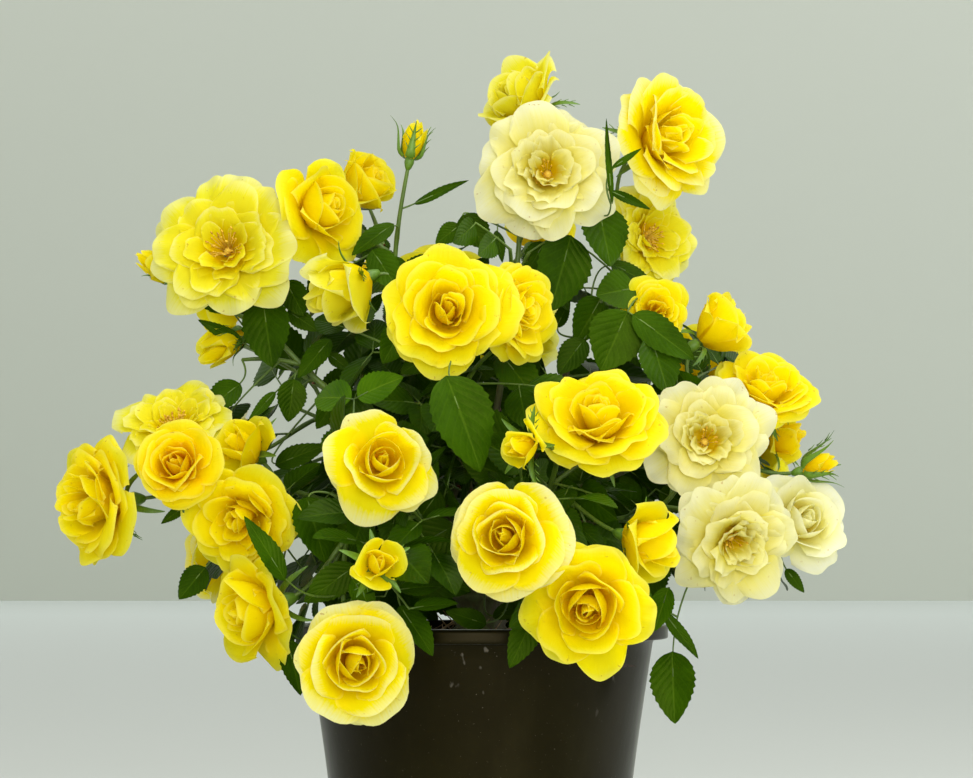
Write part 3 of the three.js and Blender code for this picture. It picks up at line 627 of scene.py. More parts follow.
class Nodes:
    """Short calls for the nodes of a material or of the world."""

    def __init__(self, tree):
        self.tree = tree

    def node(self, kind, inputs=None, **settings):
        made = self.tree.nodes.new(kind)
        for name, value in settings.items():
            setattr(made, name, value)
        for name, value in (inputs or {}).items():
            self.feed(made.inputs[name], value)
        return made

    def feed(self, socket, value):
        if isinstance(value, bpy.types.NodeSocket):
            self.tree.links.new(value, socket)
        else:
            socket.default_value = value

    def math(self, operation, a, b=0.0, c=0.0):
        return self.node("ShaderNodeMath", {0: a, 1: b, 2: c}, operation=operation).outputs[0]

    def times(self, a, b):
        return self.math("MULTIPLY", a, b)

    def total(self, base, *parts):
        """A base, and each of the parts by its weight on top."""
        for value, weight in parts:
            base = self.math("MULTIPLY_ADD", value, weight, base)
        return base

    def between(self, value, low, high):
        """0 at the low end of a range and 1 at its high end."""
        return self.node("ShaderNodeMapRange", {0: value, 1: low, 2: high}).outputs[0]

    def ramp(self, value, *stops):
        """A colour ramp through (place, colour) stops."""
        made = self.node("ShaderNodeValToRGB", {0: value})
        elements = made.color_ramp.elements
        while len(elements) < len(stops):
            elements.new(0.5)
        for element, (place, colour) in zip(elements, stops):
            element.position = place
            element.color = (*colour, 1) if isinstance(colour, tuple) else (colour,) * 3 + (1,)
        return made.outputs[0]

    def mix(self, factor, a, b):
        made = self.node("ShaderNodeMix", data_type="RGBA")
        self.feed(made.inputs[0], factor)
        for socket, value in ((made.inputs[6], a), (made.inputs[7], b)):
            self.feed(socket, (*value, 1) if isinstance(value, tuple) else value)
        return made.outputs[2]

    def noise(self, vector, scale, detail, roughness=0.5):
        inputs = {"Vector": vector, "Scale": scale, "Detail": detail, "Roughness": roughness}
        return self.node("ShaderNodeTexNoise", inputs).outputs[0]

    def place(self):
        """Where a point is on the object, in metres."""
        return self.node("ShaderNodeTexCoord").outputs["Object"]

    def stretched(self, vector, scale):
        return self.node("ShaderNodeMapping", {"Vector": vector, "Scale": scale}).outputs[0]


class Look(Nodes):
    """A node material with its Principled shader."""

    def __init__(self, name, **values):
        self.material = bpy.data.materials.new(name)
        self.material.use_nodes = True
        super().__init__(self.material.node_tree)
        self.shader = self.tree.nodes["Principled BSDF"]
        for socket, value in values.items():
            self.shader.inputs[socket.replace("_", " ")].default_value = value

    def colour(self, value):
        self.feed(self.shader.inputs["Base Color"], value)

    def across_along(self):
        """The two map coordinates of a leaf or petal, and the map itself."""
        source = self.node("ShaderNodeUVMap", uv_map=BAKE_MAP).outputs[0]
        split = self.node("ShaderNodeSeparateXYZ", {0: source})
        return split.outputs[0], split.outputs[1], source

    def bump(self, height, strength, distance):
        inputs = {"Height": height, "Strength": strength, "Distance": distance}
        made = self.node("ShaderNodeBump", inputs)
        self.feed(self.shader.inputs["Normal"], made.outputs[0])
        return made.outputs[0]

    def let_light_through(self, colour, share, normal):
        """Mixes in light that shines through a thin leaf or petal."""
        through = self.node("ShaderNodeBsdfTranslucent", {"Color": colour, "Normal": normal})
        inputs = {0: share, 1: self.shader.outputs[0], 2: through.outputs[0]}
        mixed = self.node("ShaderNodeMixShader", inputs)
        output = self.tree.nodes["Material Output"]
        self.tree.links.new(mixed.outputs[0], output.inputs["Surface"])


def petal_look(name, shade):
    """Deep at the foot, paler at the rim, and deeper from one tile of the map to the next."""
    look = Look(name, Roughness=0.6, Specular_IOR_Level=0.07)
    foot, body, upper, rim = SHADES[shade]
    across, along, source = look.across_along()
    tiles = look.times(across, PETAL_TILES)
    streaks = look.noise(look.stretched(source, (150.0, 2.2, 1.0)), 1.0, 2.0)
    clouds = look.noise(look.stretched(source, (9.0, 2.5, 1.0)), 1.0, 2.0)
    tile = look.math("FLOOR", tiles)
    height = look.total(-0.24, (along, 1.0), (tile, -0.07), (streaks, 0.26), (clouds, 0.22))
    colour = look.ramp(height, (0.0, foot), (0.30, body), (0.74, upper), (0.99, rim))
    # The pale rim line: partly the petal's paler rim, partly painted highlight along the rims
    aside = look.math("ABSOLUTE", look.total(-1.0, (look.math("FRACT", tiles), 2.0)))
    edge = look.math("MAXIMUM", along, look.math("ADD", aside, 0.035))
    edge = look.ramp(edge, (0.90, 0.0), (1.0, 0.26))
    colour = look.mix(look.times(edge, look.ramp(along, (0.3, 0.0), (0.6, 1.0))), colour, RIM_LINE_AND_HIGHLIGHT)
    specks = look.ramp(look.noise(look.place(), 330.0, 2.0), (0.69, 0.0), (0.75, 0.55))
    worn = look.times(specks, look.ramp(along, (0.62, 0.0), (0.92, 1.0)))
    colour = look.mix(worn, colour, WORN_PETAL)
    look.colour(colour)
    normal = look.bump(streaks, 0.22, 0.0006)
    look.let_light_through(colour, 0.50, normal)
    return look.material


def leaf_look(name, dark, light, vein, roughness):
    """A glossy leaflet with a pale midrib and side veins that run forward to its teeth."""
    look = Look(
        name, Roughness=roughness, Specular_IOR_Level=0.14, Specular_Tint=(0.8, 1.0, 0.15, 1)
    )
    across, along, source = look.across_along()
    aside = look.math("ABSOLUTE", look.math("SUBTRACT", across, 0.5))
    midrib = look.ramp(aside, (0.0, 1.0), (0.018, 0.5), (0.036, 0.0))
    slant = look.total(along, (aside, -0.75))
    wave = look.math("PINGPONG", look.times(slant, SIDE_VEINS), 0.5)
    side_veins = look.ramp(wave, (0.0, 1.0), (0.06, 0.3), (0.12, 0.0))
    quilt = look.math("SMOOTH_MIN", wave, 0.4, 0.2)
    patches = look.noise(look.place(), 55.0, 3.0)
    mottle = look.noise(source, 26.0, 4.0)
    shade = look.total(0.0, (patches, 0.8), (mottle, 0.4))
    body = look.ramp(shade, (0.38, dark), (0.72, light))
    veined = look.mix(look.times(side_veins, 0.12), body, vein)
    colour = look.mix(look.times(midrib, 0.42), veined, vein)
    look.colour(colour)
    relief = look.total(quilt, (midrib, -0.5), (mottle, 0.15))
    normal = look.bump(relief, 0.30, 0.0012)
    look.let_light_through(colour, 0.16, normal)
    return look.material


def grained_look(name, roughness, cloud, grain, relief, *stops):
    """Colour by a cloudy noise and a finer one, which may run lengthwise and gives the relief."""
    look = Look(name, Roughness=roughness)
    place = look.place()
    cloud_scale, cloud_detail, cloud_share = cloud
    grain_scale, grain_detail, grit, grain_share = grain
    clouds = look.noise(place, cloud_scale, cloud_detail)
    fine = look.noise(look.stretched(place, grain_scale), 1.0, grain_detail, grit)
    look.colour(look.ramp(look.total(0.0, (clouds, cloud_share), (fine, grain_share)), *stops))
    look.bump(fine, *relief)
    return look.material


def twig_look(name, young, old):
    return grained_look(
        name, 0.5, (35.0, 3.0, 0.75), ((900.0, 900.0, 260.0), 3.0, 0.5, 0.35), (0.35, 0.0004),
        (0.36, old), (0.68, young),
    )


def bark_look():
    """Old green-brown cane bark with grey-brown cracks lengthwise."""
    return grained_look(
        "cane_bark", 0.72, (24.0, 4.0, 0.7), ((520.0, 520.0, 90.0), 4.0, 0.6, 0.45), (0.6, 0.0008),
        (0.30, (0.035, 0.022, 0.012)), (0.52, (0.075, 0.065, 0.022)), (0.72, (0.11, 0.14, 0.035)),
    )


def soil_look():
    return grained_look(
        "potting_mix", 0.95, (60.0, 3.0, 0.4), ((420.0, 420.0, 420.0), 5.0, 0.7, 0.7), (0.9, 0.0022),
        (0.36, (0.010, 0.006, 0.004)), (0.58, (0.038, 0.022, 0.012)), (0.80, (0.10, 0.065, 0.035)),
    )


def plain_look(name, low, high, roughness):
    """A small part's colour with a little variation."""
    look = Look(name, Roughness=roughness)
    cloud = look.noise(look.place(), 300.0, 2.0)
    look.colour(look.ramp(cloud, (0.35, low), (0.65, high)))
    look.bump(cloud, 0.2, 0.0003)
    return look.material


def pot_look():
    """Dark brown-black moulded plastic: a streaky film, dusty, with pale water marks near the rim."""
    look = Look(
        "pot_plastic_dark", Specular_IOR_Level=0.11, Specular_Tint=(1.0, 0.82, 0.45, 1),
        Sheen_Weight=0.38, Sheen_Roughness=0.22, Sheen_Tint=(0.80, 0.84, 0.76, 1),
    )
    place = look.place()
    height = look.node("ShaderNodeSeparateXYZ", {0: place}).outputs[2]
    cloud = look.noise(place, 16.0, 5.0, 0.62)
    film = look.noise(look.stretched(place, (30.0, 30.0, 7.0)), 1.0, 5.0, 0.6)
    dust = look.noise(place, 900.0, 2.0)
    splashes = look.noise(look.stretched(place, (190.0, 190.0, 120.0)), 1.0, 2.0)
    base = look.ramp(cloud, (0.32, (0.004, 0.0034, 0.0006)), (0.72, (0.008, 0.0072, 0.0016)))
    filmed = look.mix(look.ramp(film, (0.52, 0.0), (0.80, 0.18)), base, (0.036, 0.031, 0.012))
    specks = look.ramp(dust, (0.73, 0.0), (0.79, 0.35))
    dusty = look.mix(specks, filmed, (0.30, 0.26, 0.20))
    near_rim = look.ramp(height, (0.150, 0.0), (0.208, 1.0))
    marks = look.times(look.ramp(splashes, (0.70, 0.0), (0.77, 0.3)), near_rim)
    colour = look.mix(marks, dusty, (0.34, 0.31, 0.26))
    look.colour(colour)
    rough = look.ramp(film, (0.30, 0.27), (0.75, 0.44))
    look.feed(look.shader.inputs["Roughness"], rough)
    fine = look.noise(place, 1400.0, 2.0)
    look.bump(look.total(0.0, (cloud, 1.6), (fine, 0.10)), 0.20, 0.0010)
    return look.material


# Where things grow, by the model's rule

class Rose:
    """A rose or bud: where it stands, which way it faces and how it opens."""

    def __init__(self, x, y, z, size, azimuth, lift, kind, shade):
        self.centre = vec(x, y, z)
        self.size = size
        self.face = heading(azimuth, lift)
        self.axes = frame_of(self.face)
        self.kind = kind
        self.shade = shade
        self.form = FORMS[kind]
        self.back = self.centre - self.face * self.form["back"] * size

    def set(self, points):
        """Points in shares of the rose's size, from its own axes into the frame."""
        return self.centre + self.size * (points @ self.axes)



def mass_centre(mass):
    return np.mean([rose.centre for rose in mass["roses"]], axis=0)


def cane_of(mass, canes):
    """The curve of a mass's cane, from the stem's ring or from another cane."""
    centre = mass_centre(mass)
    parent = canes.get(mass.get("parent"))
    if parent is not None:
        at = mass["at"]
        on, along = parent["curve"].at(at), parent["curve"].tangent(at)
        aside = square_to(along, centre - on)
        cosine, sine = math.cos(CANE_FORK_ANGLE), math.sin(CANE_FORK_ANGLE)
        first = aside * sine + along * cosine
        parent_radius = parent["foot"] + (CANE_TIP_RADIUS - parent["foot"]) * at
        room = parent_radius + CLEAR + CANE_SIDE_RADIUS * cosine
        foot = on + first * room / sine
    else:
        seat = mass["seat"]
        angle = 2 * math.pi * (seat or 0) / CANE_RING_SEATS
        radius = 0 if seat is None else CANE_RING_RADIUS
        foot = level(angle) * radius + UP * (STEM_TOP + CLEAR)
        first = UP
    span = np.linalg.norm(centre - foot)
    tip = foot + (centre - foot) * CANE_FORK_AT + UP * mass["arch"] * span
    bend = foot + first * CANE_RISE * np.linalg.norm(tip - foot)
    foot_radius = CANE_FOOT_RADIUS if parent is None else CANE_SIDE_RADIUS
    return dict(curve=Curve(foot, bend, tip), foot=foot_radius, first=first, mass=mass)


def skeleton_of(mass, cane, random):
    """The mass's own stem, a stalk to each rose and its leafy shoots."""
    along = cane["curve"].tangent(1)
    root = cane["curve"].at(1) + along * CLEAR
    to_centre = mass_centre(mass) - root
    span = np.linalg.norm(to_centre)
    reach = max(0.35 * span, span - HUB_SHORT)
    hub = root + to_centre * reach / span + UP * 0.55 * mass["arch"] * span
    stem = Curve(root, root + along * 0.45 * np.linalg.norm(hub - root), hub)
    twigs = [dict(kind="stem", curve=stem, radii=(STEM_RADIUS, STALK_RADIUS))]
    for k, rose in enumerate(mass["roses"]):
        start = stem.at(0.97 - 0.28 * k / len(mass["roses"]))
        pull = 0.42 * np.linalg.norm(rose.back - start)
        leave = unit(unit(rose.back - start) + stem.tangent(1))
        curve = Curve(start, start + leave * 0.8 * pull, rose.back - rose.face * pull, rose.back)
        twigs.append(dict(kind="stalk", curve=curve, radii=(STALK_RADIUS, STALK_TIP_RADIUS)))
    for k in range(mass["shoots"]):
        t = 0.1 + 0.7 * k / mass["shoots"]
        start, forward = stem.at(t), stem.tangent(t)
        away = unit(vec(start[0], start[1], 0))
        turn = k * GOLDEN_ANGLE + ANY_TURN * random()
        side = turned(unit(np.cross(forward, UP)), forward, turn)
        out = unit(forward * 0.7 + side * 0.9 + away * 0.35)
        length = mass["reach"] * (0.75 + 0.4 * random())
        end = start + out * length + UP * 0.06 * length
        middle = start + forward * 0.3 * length
        curve = Curve(start, middle + (end - middle) * 0.3, end)
        twigs.append(dict(kind="shoot", curve=curve, radii=(STALK_RADIUS, STALK_TIP_RADIUS)))
    return twigs


# Roses

def petal_sheet(length, width, lean, spread, reflex, cup, hold, taper, ruffle, rows, cols, draw):
    """One petal, its foot at the origin: X runs outwards, Y across and Z along the rose's axis."""
    v = np.linspace(0, 1, rows)[:, None]
    u = np.linspace(-1, 1, cols)[None, :]
    # Outline: shoulders, a rounded top with a dent, and a scalloped rim
    shoulders = 0.16 + 0.84 * np.sin(0.5 * math.pi * np.clip(v / 0.74, 0, 1)) ** 0.9
    half = 0.5 * width * shoulders * (1 - taper * smooth(v, 0.6, 1))
    middle = draw.uniform(-0.3, 0.3)
    dent = draw.uniform(0.0, 0.10) * np.exp(-(((u - middle) / 0.36) ** 2)) * v ** 5
    scallop = 0.015 * np.sin(u * draw.uniform(3.0, 5.5) + draw.uniform(0, 6)) * v ** 6
    round_top = 0.62 * (1 - np.sqrt(1 - 0.88 * u ** 2)) * v ** 2
    along = v * (1 - round_top) - dent + scallop
    # Profile from the foot to the rim
    fine = np.linspace(-0.05, 1.15, 61)
    turn = lean + (spread - lean) * smooth(fine, 0.05, 0.9) + reflex * smooth(fine, 0.70, 1.05)
    turn = np.radians(turn)
    step = (fine[1] - fine[0]) * length
    radial = np.cumsum(np.sin(turn)) * step
    height = np.cumsum(np.cos(turn)) * step
    r = np.interp(along, fine, radial) - np.interp(0, fine, radial)
    h = np.interp(along, fine, height) - np.interp(0, fine, height)
    angle = np.interp(along, fine, turn)
    # Curve across the petal
    bend = cup / width * (1 - (1 - hold) * smooth(v, 0.45, 1))
    s = half * u
    lateral = np.sin(bend * s) / bend
    inward = (1 - np.cos(bend * s)) / bend
    # Waves of the rim, a crease lengthwise, rolled edges and a turned lip
    waves = draw.uniform(0.8, 1.5) * max(1, 0.8 * ruffle)
    phase = draw.uniform(-1.2, 1.2)
    wave = ruffle * draw.uniform(0.02, 0.055) * width * np.cos(math.pi * waves * u + phase)
    inward = inward + wave * v ** 2 * (0.4 + 0.6 * np.abs(u))
    crease = draw.uniform(-0.01, 0.05) * width * np.exp(-(((u - middle) / 0.3) ** 2))
    inward = inward + crease * smooth(v, 0.25, 0.9)
    roll = draw.uniform(0.01, 0.09) * width * np.abs(u) ** 4 * smooth(v, 0.35, 1)
    lip = draw.uniform(0.0, 0.05) * width * smooth(v, 0.84, 1.0)
    inward = inward - roll - lip
    return np.stack([r - np.cos(angle) * inward, lateral, h + np.sin(angle) * inward], -1)


def rose_petals(heap, rose, draw):
    """The petals of a rose from the outermost to the heart, each turned by the golden angle."""
    form = rose.form
    heart_from, heart_turn = form.get("heart", PLAIN_HEART)
    count = form["petals"]
    if rose.size < SMALL_ROSE and rose.kind != "bud":
        count = int(count * 0.8)
    start = draw.uniform(0, ANY_TURN)
    open_side = draw.uniform(0, ANY_TURN)
    loose = 0 if rose.kind == "bud" else 1
    for k in range(count):
        f = k / (count - 1)
        value = {key: np.interp(f, np.linspace(0, 1, 5), form[key]) for key in FORM_ROWS}
        rows, cols = 9, 9
        if f < 0.6 and rose.size > 40:
            rows, cols = 11, 17 if rose.kind in WAVY_KINDS else 13
        azimuth = start + k * GOLDEN_ANGLE + loose * draw.uniform(-0.28, 0.28)
        value["length"] *= 1 + loose * draw.uniform(-0.20 if f < 0.25 else -0.10, 0.06)
        value["width"] *= draw.uniform(0.86, 1.08)
        if rose.kind in TIGHT_KINDS and f > 0.40:
            loose = 0.3
        value["spread"] += loose * (draw.uniform(-12, 8) + 10 * math.cos(azimuth - open_side))
        value["lean"] += loose * draw.uniform(-5, 5)
        if loose == 1 and draw.random() < 0.15:
            value["lean"] += draw.uniform(-16, 6)
            value["spread"] += draw.uniform(-30, 10)
        points = petal_sheet(**value, rows=rows, cols=cols, draw=draw)
        if f > heart_from:
            points = twist(points, draw.uniform(-heart_turn, heart_turn))
            points[..., 0] += draw.uniform(0, 0.06) * heart_turn
            points[..., 2] += draw.uniform(-0.03, 0.02)
        elif loose and f < 0.6:
            points = twist(points, draw.uniform(-0.22, 0.22))
        points[..., 0] += 0.05 * (1 - f) + 0.01
        points[..., 2] += form["foot"] + 0.03 * f
        tile = min(PETAL_TILES - 1, int(f * PETAL_TILES))
        across = (tile + 0.02 + 0.96 * np.linspace(0, 1, cols)[None, :]) / PETAL_TILES
        along = np.linspace(0, 1, rows)[:, None]
        heap.grid(rose.set(spun(points, azimuth)), np.stack(np.broadcast_arrays(across, along), -1))


def twist(points, angle):
    """A petal turned a little about its own length as it rises."""
    share = np.linspace(0, 1, points.shape[0])[:, None]
    foot = points[0].mean(axis=0)
    return foot + spun(points - foot, angle * share)


def stamens(filaments, anthers, rose, draw):
    """A small dome with a tuft of threads, longer and more in a wide open rose."""
    wide_open = rose.kind == "open"
    foot = rose.form["foot"] + 0.03
    middle = rose.centre + rose.size * foot * rose.face
    rises = [middle + step * rose.face for step in (-2.0, 0.2, 1.4, 2.0)]
    filaments.tube(rises, (0.035 * rose.size, 0.03 * rose.size, 0.02 * rose.size, 0.6), 9)
    for k in range(34 if wide_open else 10):
        around = level(k * GOLDEN_ANGLE)
        lean = math.radians(draw.uniform(8, 58))
        long = draw.uniform(0.10, 0.16) if wide_open else draw.uniform(0.07, 0.13)
        base = around * 0.02 + UP * foot
        out = (around * math.sin(lean) + UP * math.cos(lean)) * long
        tip = base + out + UP * draw.uniform(0, 0.02)
        line = rose.set(np.array([base, base + out * 0.5 + UP * 0.012, tip]))
        filaments.tube(line, (0.32, 0.26, 0.2), 3)
        along = turned(unit(line[2] - line[1]), unit(rose.axes[0]), draw.uniform(-1, 1))
        ends = [line[2] + along * step for step in (-1.1, -0.5, 0.5, 1.1)]
        anthers.tube(ends, (0.30, 0.60, 0.60, 0.30), 5)


def calyx(heap, rose, draw):
    """The green hip under a rose and its five sepals, which hug a bud and hang from a bloom."""
    sunk, lean, spread, tips = SEPALS.get(rose.kind, BLOWN_SEPALS)
    foot = rose.centre + rose.face * (rose.form["foot"] + sunk) * rose.size
    hip = 2.6 + 0.022 * rose.size
    line = [foot - rose.face * hip * step for step in (2.7, 2.1, 1.3, 0.5, 0.05, -0.05)]
    heap.tube(line, hip * np.array([0.45, 0.75, 1.0, 0.95, 0.7, 0.2]), 9)
    long = 25 if rose.size < 20 else 15 + 0.10 * rose.size
    start = draw.uniform(0, ANY_TURN)
    for k in range(5):
        tip = draw.uniform(*tips)
        around = level(start + k * SEPAL_TURN + draw.uniform(-0.1, 0.1))
        sepal(heap, foot, rose.axes, around, long * draw.uniform(0.85, 1.15), hip,
              (lean + draw.uniform(-6, 6), spread + draw.uniform(-12, 12), tip),
              rose.kind == "bud", k % 2 == 1, draw)


def sepal(heap, foot, axes, out, long, hip, bends, snug, leafy, draw):
    """One sepal. A snug one holds a bud: it bends up soon and is broad at its foot."""
    lean, spread, tip = bends
    v = np.linspace(0, 1, 11)
    turn = lean + (spread - lean) * smooth(v, 0, 0.35 if snug else 0.7) + tip * smooth(v, 0.6, 1)
    turn = np.radians(turn)[:, None]
    step = long / 10
    r = hip * (0.95 if snug else 0.75) + np.cumsum(np.sin(turn), axis=0) * step
    h = np.cumsum(np.cos(turn), axis=0) * step - (2.6 if snug else 0.6)
    wide, narrowing = (3.9, 1.5) if snug else (2.9, 0.85)
    half = wide * (1 - v) ** narrowing * (0.75 + 0.6 * v) + 0.25
    across = np.cross(UP, out)
    u = np.linspace(-1, 1, 5)[None, :, None]
    line = r * out + h * UP
    inward = np.sin(turn) * UP - np.cos(turn) * out
    edge = half[:, None, None]
    points = line[:, None, :] + u * edge * across + 0.5 * edge * u ** 2 * inward[:, None, :]
    heap.grid(foot + points @ axes)
    for i in (3, 5, 7) if leafy else ():
        for hand in (-1, 1):
            start = line[i] + hand * half[i] * 0.8 * across
            aside = hand * across * draw.uniform(0.08, 0.15) * long
            end = start + aside + (line[i + 1] - line[i]) * 1.6
            lobe = np.array([start, (start + end) / 2 + inward[i] * 0.3, end])
            heap.tube(foot + lobe @ axes, (0.45, 0.35, 0.15), 3)


# Leaves

def leaflet(heap, root, along, normal, long, draw, droop=0.16, fold=0.30, width=0.72):
    """A toothed leaflet folded along its midrib, quilted between its side veins."""
    across = unit(np.cross(along, normal))
    up = np.cross(across, along)
    v = np.linspace(0, 1, LEAFLET_ROWS)[:, None]
    u = np.array(LEAFLET_COLUMNS)[None, :]
    wide = width * long * draw.uniform(0.94, 1.06)
    outline = np.sin(math.pi * v ** 0.82) ** 0.72 * (1 - 0.18 * v)
    half = 0.5 * wide * outline
    tooth = (np.arange(LEAFLET_ROWS) % 2)[:, None] * (np.abs(u) > 0.99)
    swell = np.clip(outline, 0, 1)
    b = u * half * (1 + 0.10 * tooth * swell)
    a = v * long + tooth * 0.018 * long * swell - 0.02 * long * np.abs(u) * swell
    lift = fold * np.abs(b) * (1 - 0.35 * np.abs(u))
    slant = v * SIDE_VEINS - np.abs(u) * 1.6 * outline
    lift = lift + 0.014 * long * np.cos(2 * math.pi * slant) * np.abs(u) * (1 - np.abs(u))
    lift = lift + 0.02 * long * np.sin(v * draw.uniform(4, 8) + draw.uniform(0, 6)) * u ** 2
    curl = draw.uniform(-0.10, 0.10) * b * v
    drop = droop * long * v ** 2 * draw.uniform(0.4, 1.3)
    points = root + a[..., None] * along + b[..., None] * across + (lift + curl - drop)[..., None] * up
    maps = np.stack(np.broadcast_arrays((u + 1) / 2, 0.01 + 0.98 * v), -1)
    heap.grid(points, maps)


def seen(x, z, depth):
    """The point at a depth that the camera sees at a place on the plane through the pot's axis."""
    grow = 1 - depth / EYE_BACK
    return vec(x * grow, depth, EYE_HEIGHT + (z - EYE_HEIGHT) * grow)


class Room:
    """Where roses, bare places and leaflets are, so that a new leaflet keeps out of their way."""

    def __init__(self, roses):
        self.centres = np.array([rose.centre for rose in roses])
        self.sizes = np.array([rose.size for rose in roses], float)
        self.faces = np.array([rose.face for rose in roses])
        self.sky = np.array(OPEN_SKY, float)
        self.taken = np.zeros((0, 3))
        self.reach = np.zeros(0)

    def blossom_in_way(self, points):
        """True where a point is inside a rose, before its face or between it and the front."""
        gap = points[:, None, :] - self.centres[None]
        height = (gap * self.faces[None]).sum(-1)
        radius = np.linalg.norm(gap - height[..., None] * self.faces[None], axis=-1)
        inside = (radius < 0.52 * self.sizes) & (np.abs(height) < 0.34 * self.sizes)
        before = (radius < 0.50 * self.sizes) & (height > 0) & (height < 70)
        to_front = np.linalg.norm(gap[..., [0, 2]], axis=-1) < 0.47 * self.sizes
        hiding = to_front & (gap[..., 1] < 0) & (self.faces[:, 1] < -0.1)
        return bool((inside | before | hiding).any())

    def against_sky(self, points):
        """True where a point stands before or behind a place that the photo shows bare."""
        grow = (1 - points[:, 1] / EYE_BACK)[:, None]
        eye = vec(0, EYE_HEIGHT)
        shown = eye + (points[:, [0, 2]] - eye) / grow
        gap = np.linalg.norm(shown[:, None, :] - self.sky[None, :, :2], axis=-1)
        return bool((gap < self.sky[:, 2] + SKY_MARGIN).any())

    def beyond_reach(self, points):
        """True where a point stands out of the model's box by more than a leaf may, or too low."""
        low = np.array(cad_low) / MM - LEAF_PROUD
        high = np.array(cad_high) / MM + LEAF_PROUD
        outside = (points < low) | (points > high)
        return bool(outside.any() or points[:, 2].min() < LEAF_LOWEST)

    def crowded(self, point, radius):
        if not len(self.taken):
            return False
        gap = np.linalg.norm(self.taken - point, axis=1)
        return bool((gap < 0.5 * (radius + self.reach)).any())

    def take(self, point, radius):
        self.taken = np.vstack([self.taken, point])
        self.reach = np.append(self.reach, radius)


def compound_leaf(leaves, twigs, room, root, forward, order, random, draw, size, pairs):
    """A leaf that leaves its twig by the model's rule: petiole, pairs of leaflets and a last one."""
    turn = order * GOLDEN_ANGLE + 0.8 * (random() - 0.5)
    flat = vec(1, 0, 0) if abs(forward[2]) > 0.95 else UP
    side = turned(unit(np.cross(forward, flat)), forward, turn)
    outward = unit(vec(root[0], root[1], 0))
    along = unit(forward * 0.45 + side + outward * 0.45)
    up = square_to(along, UP * 0.7 + outward * 0.95 + side * 0.25)
    across = unit(np.cross(along, up))
    normal = np.cross(across, along)
    bow = draw.uniform(0.05, 0.22)

    def at(a):
        return root + along * a - normal * bow * a * a / (2 * size)

    last = size * (LAST_LEAFLET + PAIR_STEP * (pairs - 1))
    spots = [(last, at(last), unit(along - normal * bow * 1.4), size)]
    for k in range(pairs):
        a = size * (FIRST_PAIR + PAIR_STEP * k)
        long = size * (0.74 if k == 0 and pairs == 2 else 0.88)
        for hand in (-1, 1):
            aim = along * math.cos(PAIR_ANGLE) + hand * across * math.sin(PAIR_ANGLE)
            aim = unit(aim - normal * bow * 0.8)
            spots.append((a, at(a) + hand * across * 0.8, aim, long * draw.uniform(0.9, 1.05)))
    kept = []
    for a, place, aim, long in spots:
        probes = np.array([place + aim * long * s for s in (0.25, 0.6, 1.0)])
        hidden = room.blossom_in_way(probes) or room.beyond_reach(probes) or room.against_sky(probes)
        if not hidden and not room.crowded(probes[1], 0.52 * long):
            kept.append((a, place, aim, long))
    petiole = np.array([at(last * i / 7) for i in range(8)])
    if len(kept) < 2 or room.blossom_in_way(petiole[1:]):
        return False
    shade = draw.choice(list(SHADE_SHARES), p=list(SHADE_SHARES.values()))
    for a, place, aim, long in kept:
        tilt = square_to(aim, turned(normal, aim, draw.uniform(-0.5, 0.5)))
        leaflet(leaves[shade], place + aim * 1.6, aim, tilt, long, draw)
        twigs.tube([place - aim, place + aim * 1.5, place + aim * 0.3 * long], (0.5, 0.5, 0.3), 4)
        room.take(place + aim * long * 0.55, 0.55 * long)
    furthest = max(spot[0] for spot in kept)
    twigs.tube([at(furthest * i / 7) for i in range(8)], np.linspace(0.85, 0.5, 8), 5)
    return True


# The plant

for mass in MASSES:
    mass["roses"] = [Rose(*row) for row in mass["roses"]]
ROSES = [rose for mass in MASSES for rose in mass["roses"]]
room = Room(ROSES)
canes = {}
for mass in MASSES:
    canes[mass["name"]] = cane_of(mass, canes)

bark, thorns, twigs, sepals, filaments, anthers = (Heap() for k in range(6))
leaves = {shade: Heap() for shade in SHADE_SHARES}
petals = {shade: Heap() for shade in SHADES}


def knotted(count, sides, amount, draw):
    """Bark relief: ridges lengthwise, and swellings where leaves once stood."""
    ridges = 1 + amount * draw.uniform(-1, 1, sides)
    rough = np.tile(ridges, (count, 1)) + 0.4 * amount * draw.uniform(-1, 1, (count, sides))
    for ring in range(4, count - 2, KNOT_EVERY):
        rough[ring] += 0.16
        rough[ring + 1] += 0.07
    return rough


def prickles_along(heap, curve, radii, prickles, draw, until=1.0):
    spacing, size = prickles
    steps = int(curve.length() * until / spacing)
    for i in range(1, steps):
        t = i * spacing / curve.length()
        forward = curve.tangent(t)
        out = turned(frame_of(forward)[0], forward, draw.uniform(0, ANY_TURN))
        radius = radii[0] + (radii[1] - radii[0]) * t
        long = size * draw.uniform(0.7, 1.15)
        root = curve.at(t) + out * radius * 0.85
        middle = root + (out * 0.45 + forward * 0.05) * long
        tip = root + (out - forward * 0.38) * long
        heap.tube([root, middle, tip], (0.26 * long, 0.15 * long, 0.03 * long), 5)


def grow_stem(draw):
    z = np.linspace(STEM_FOOT - 3, STEM_TOP + 2, 15)
    share = (z - STEM_FOOT) / STEM_HEIGHT
    radii = STEM_WAIST + STEM_FLARE * np.exp(-((share + 0.05) / 0.16) ** 2)
    radii += STEM_CROWN * smooth(share, 0.45, 0.85)
    radii *= 1 - 0.30 * smooth(share, 0.9, 1.08)
    bark.tube(np.stack([z * 0, z * 0, z], -1), radii, 26, knotted(15, 26, 0.07, draw))


def grow_cane(cane, draw):
    curve = cane["curve"]
    count = max(12, int(curve.length() / 4))
    line = curve.samples(count)
    inset = 9.0 if cane["mass"].get("parent") is None else 4.5
    line = np.vstack([line[0] - cane["first"] * inset, line])
    radii = np.append(cane["foot"] * 1.25, np.linspace(cane["foot"], CANE_TIP_RADIUS, count))
    bark.tube(line, radii, 10, knotted(count + 1, 10, 0.07, draw))
    prickles_along(thorns, curve, (cane["foot"], CANE_TIP_RADIUS), CANE_PRICKLES, draw)


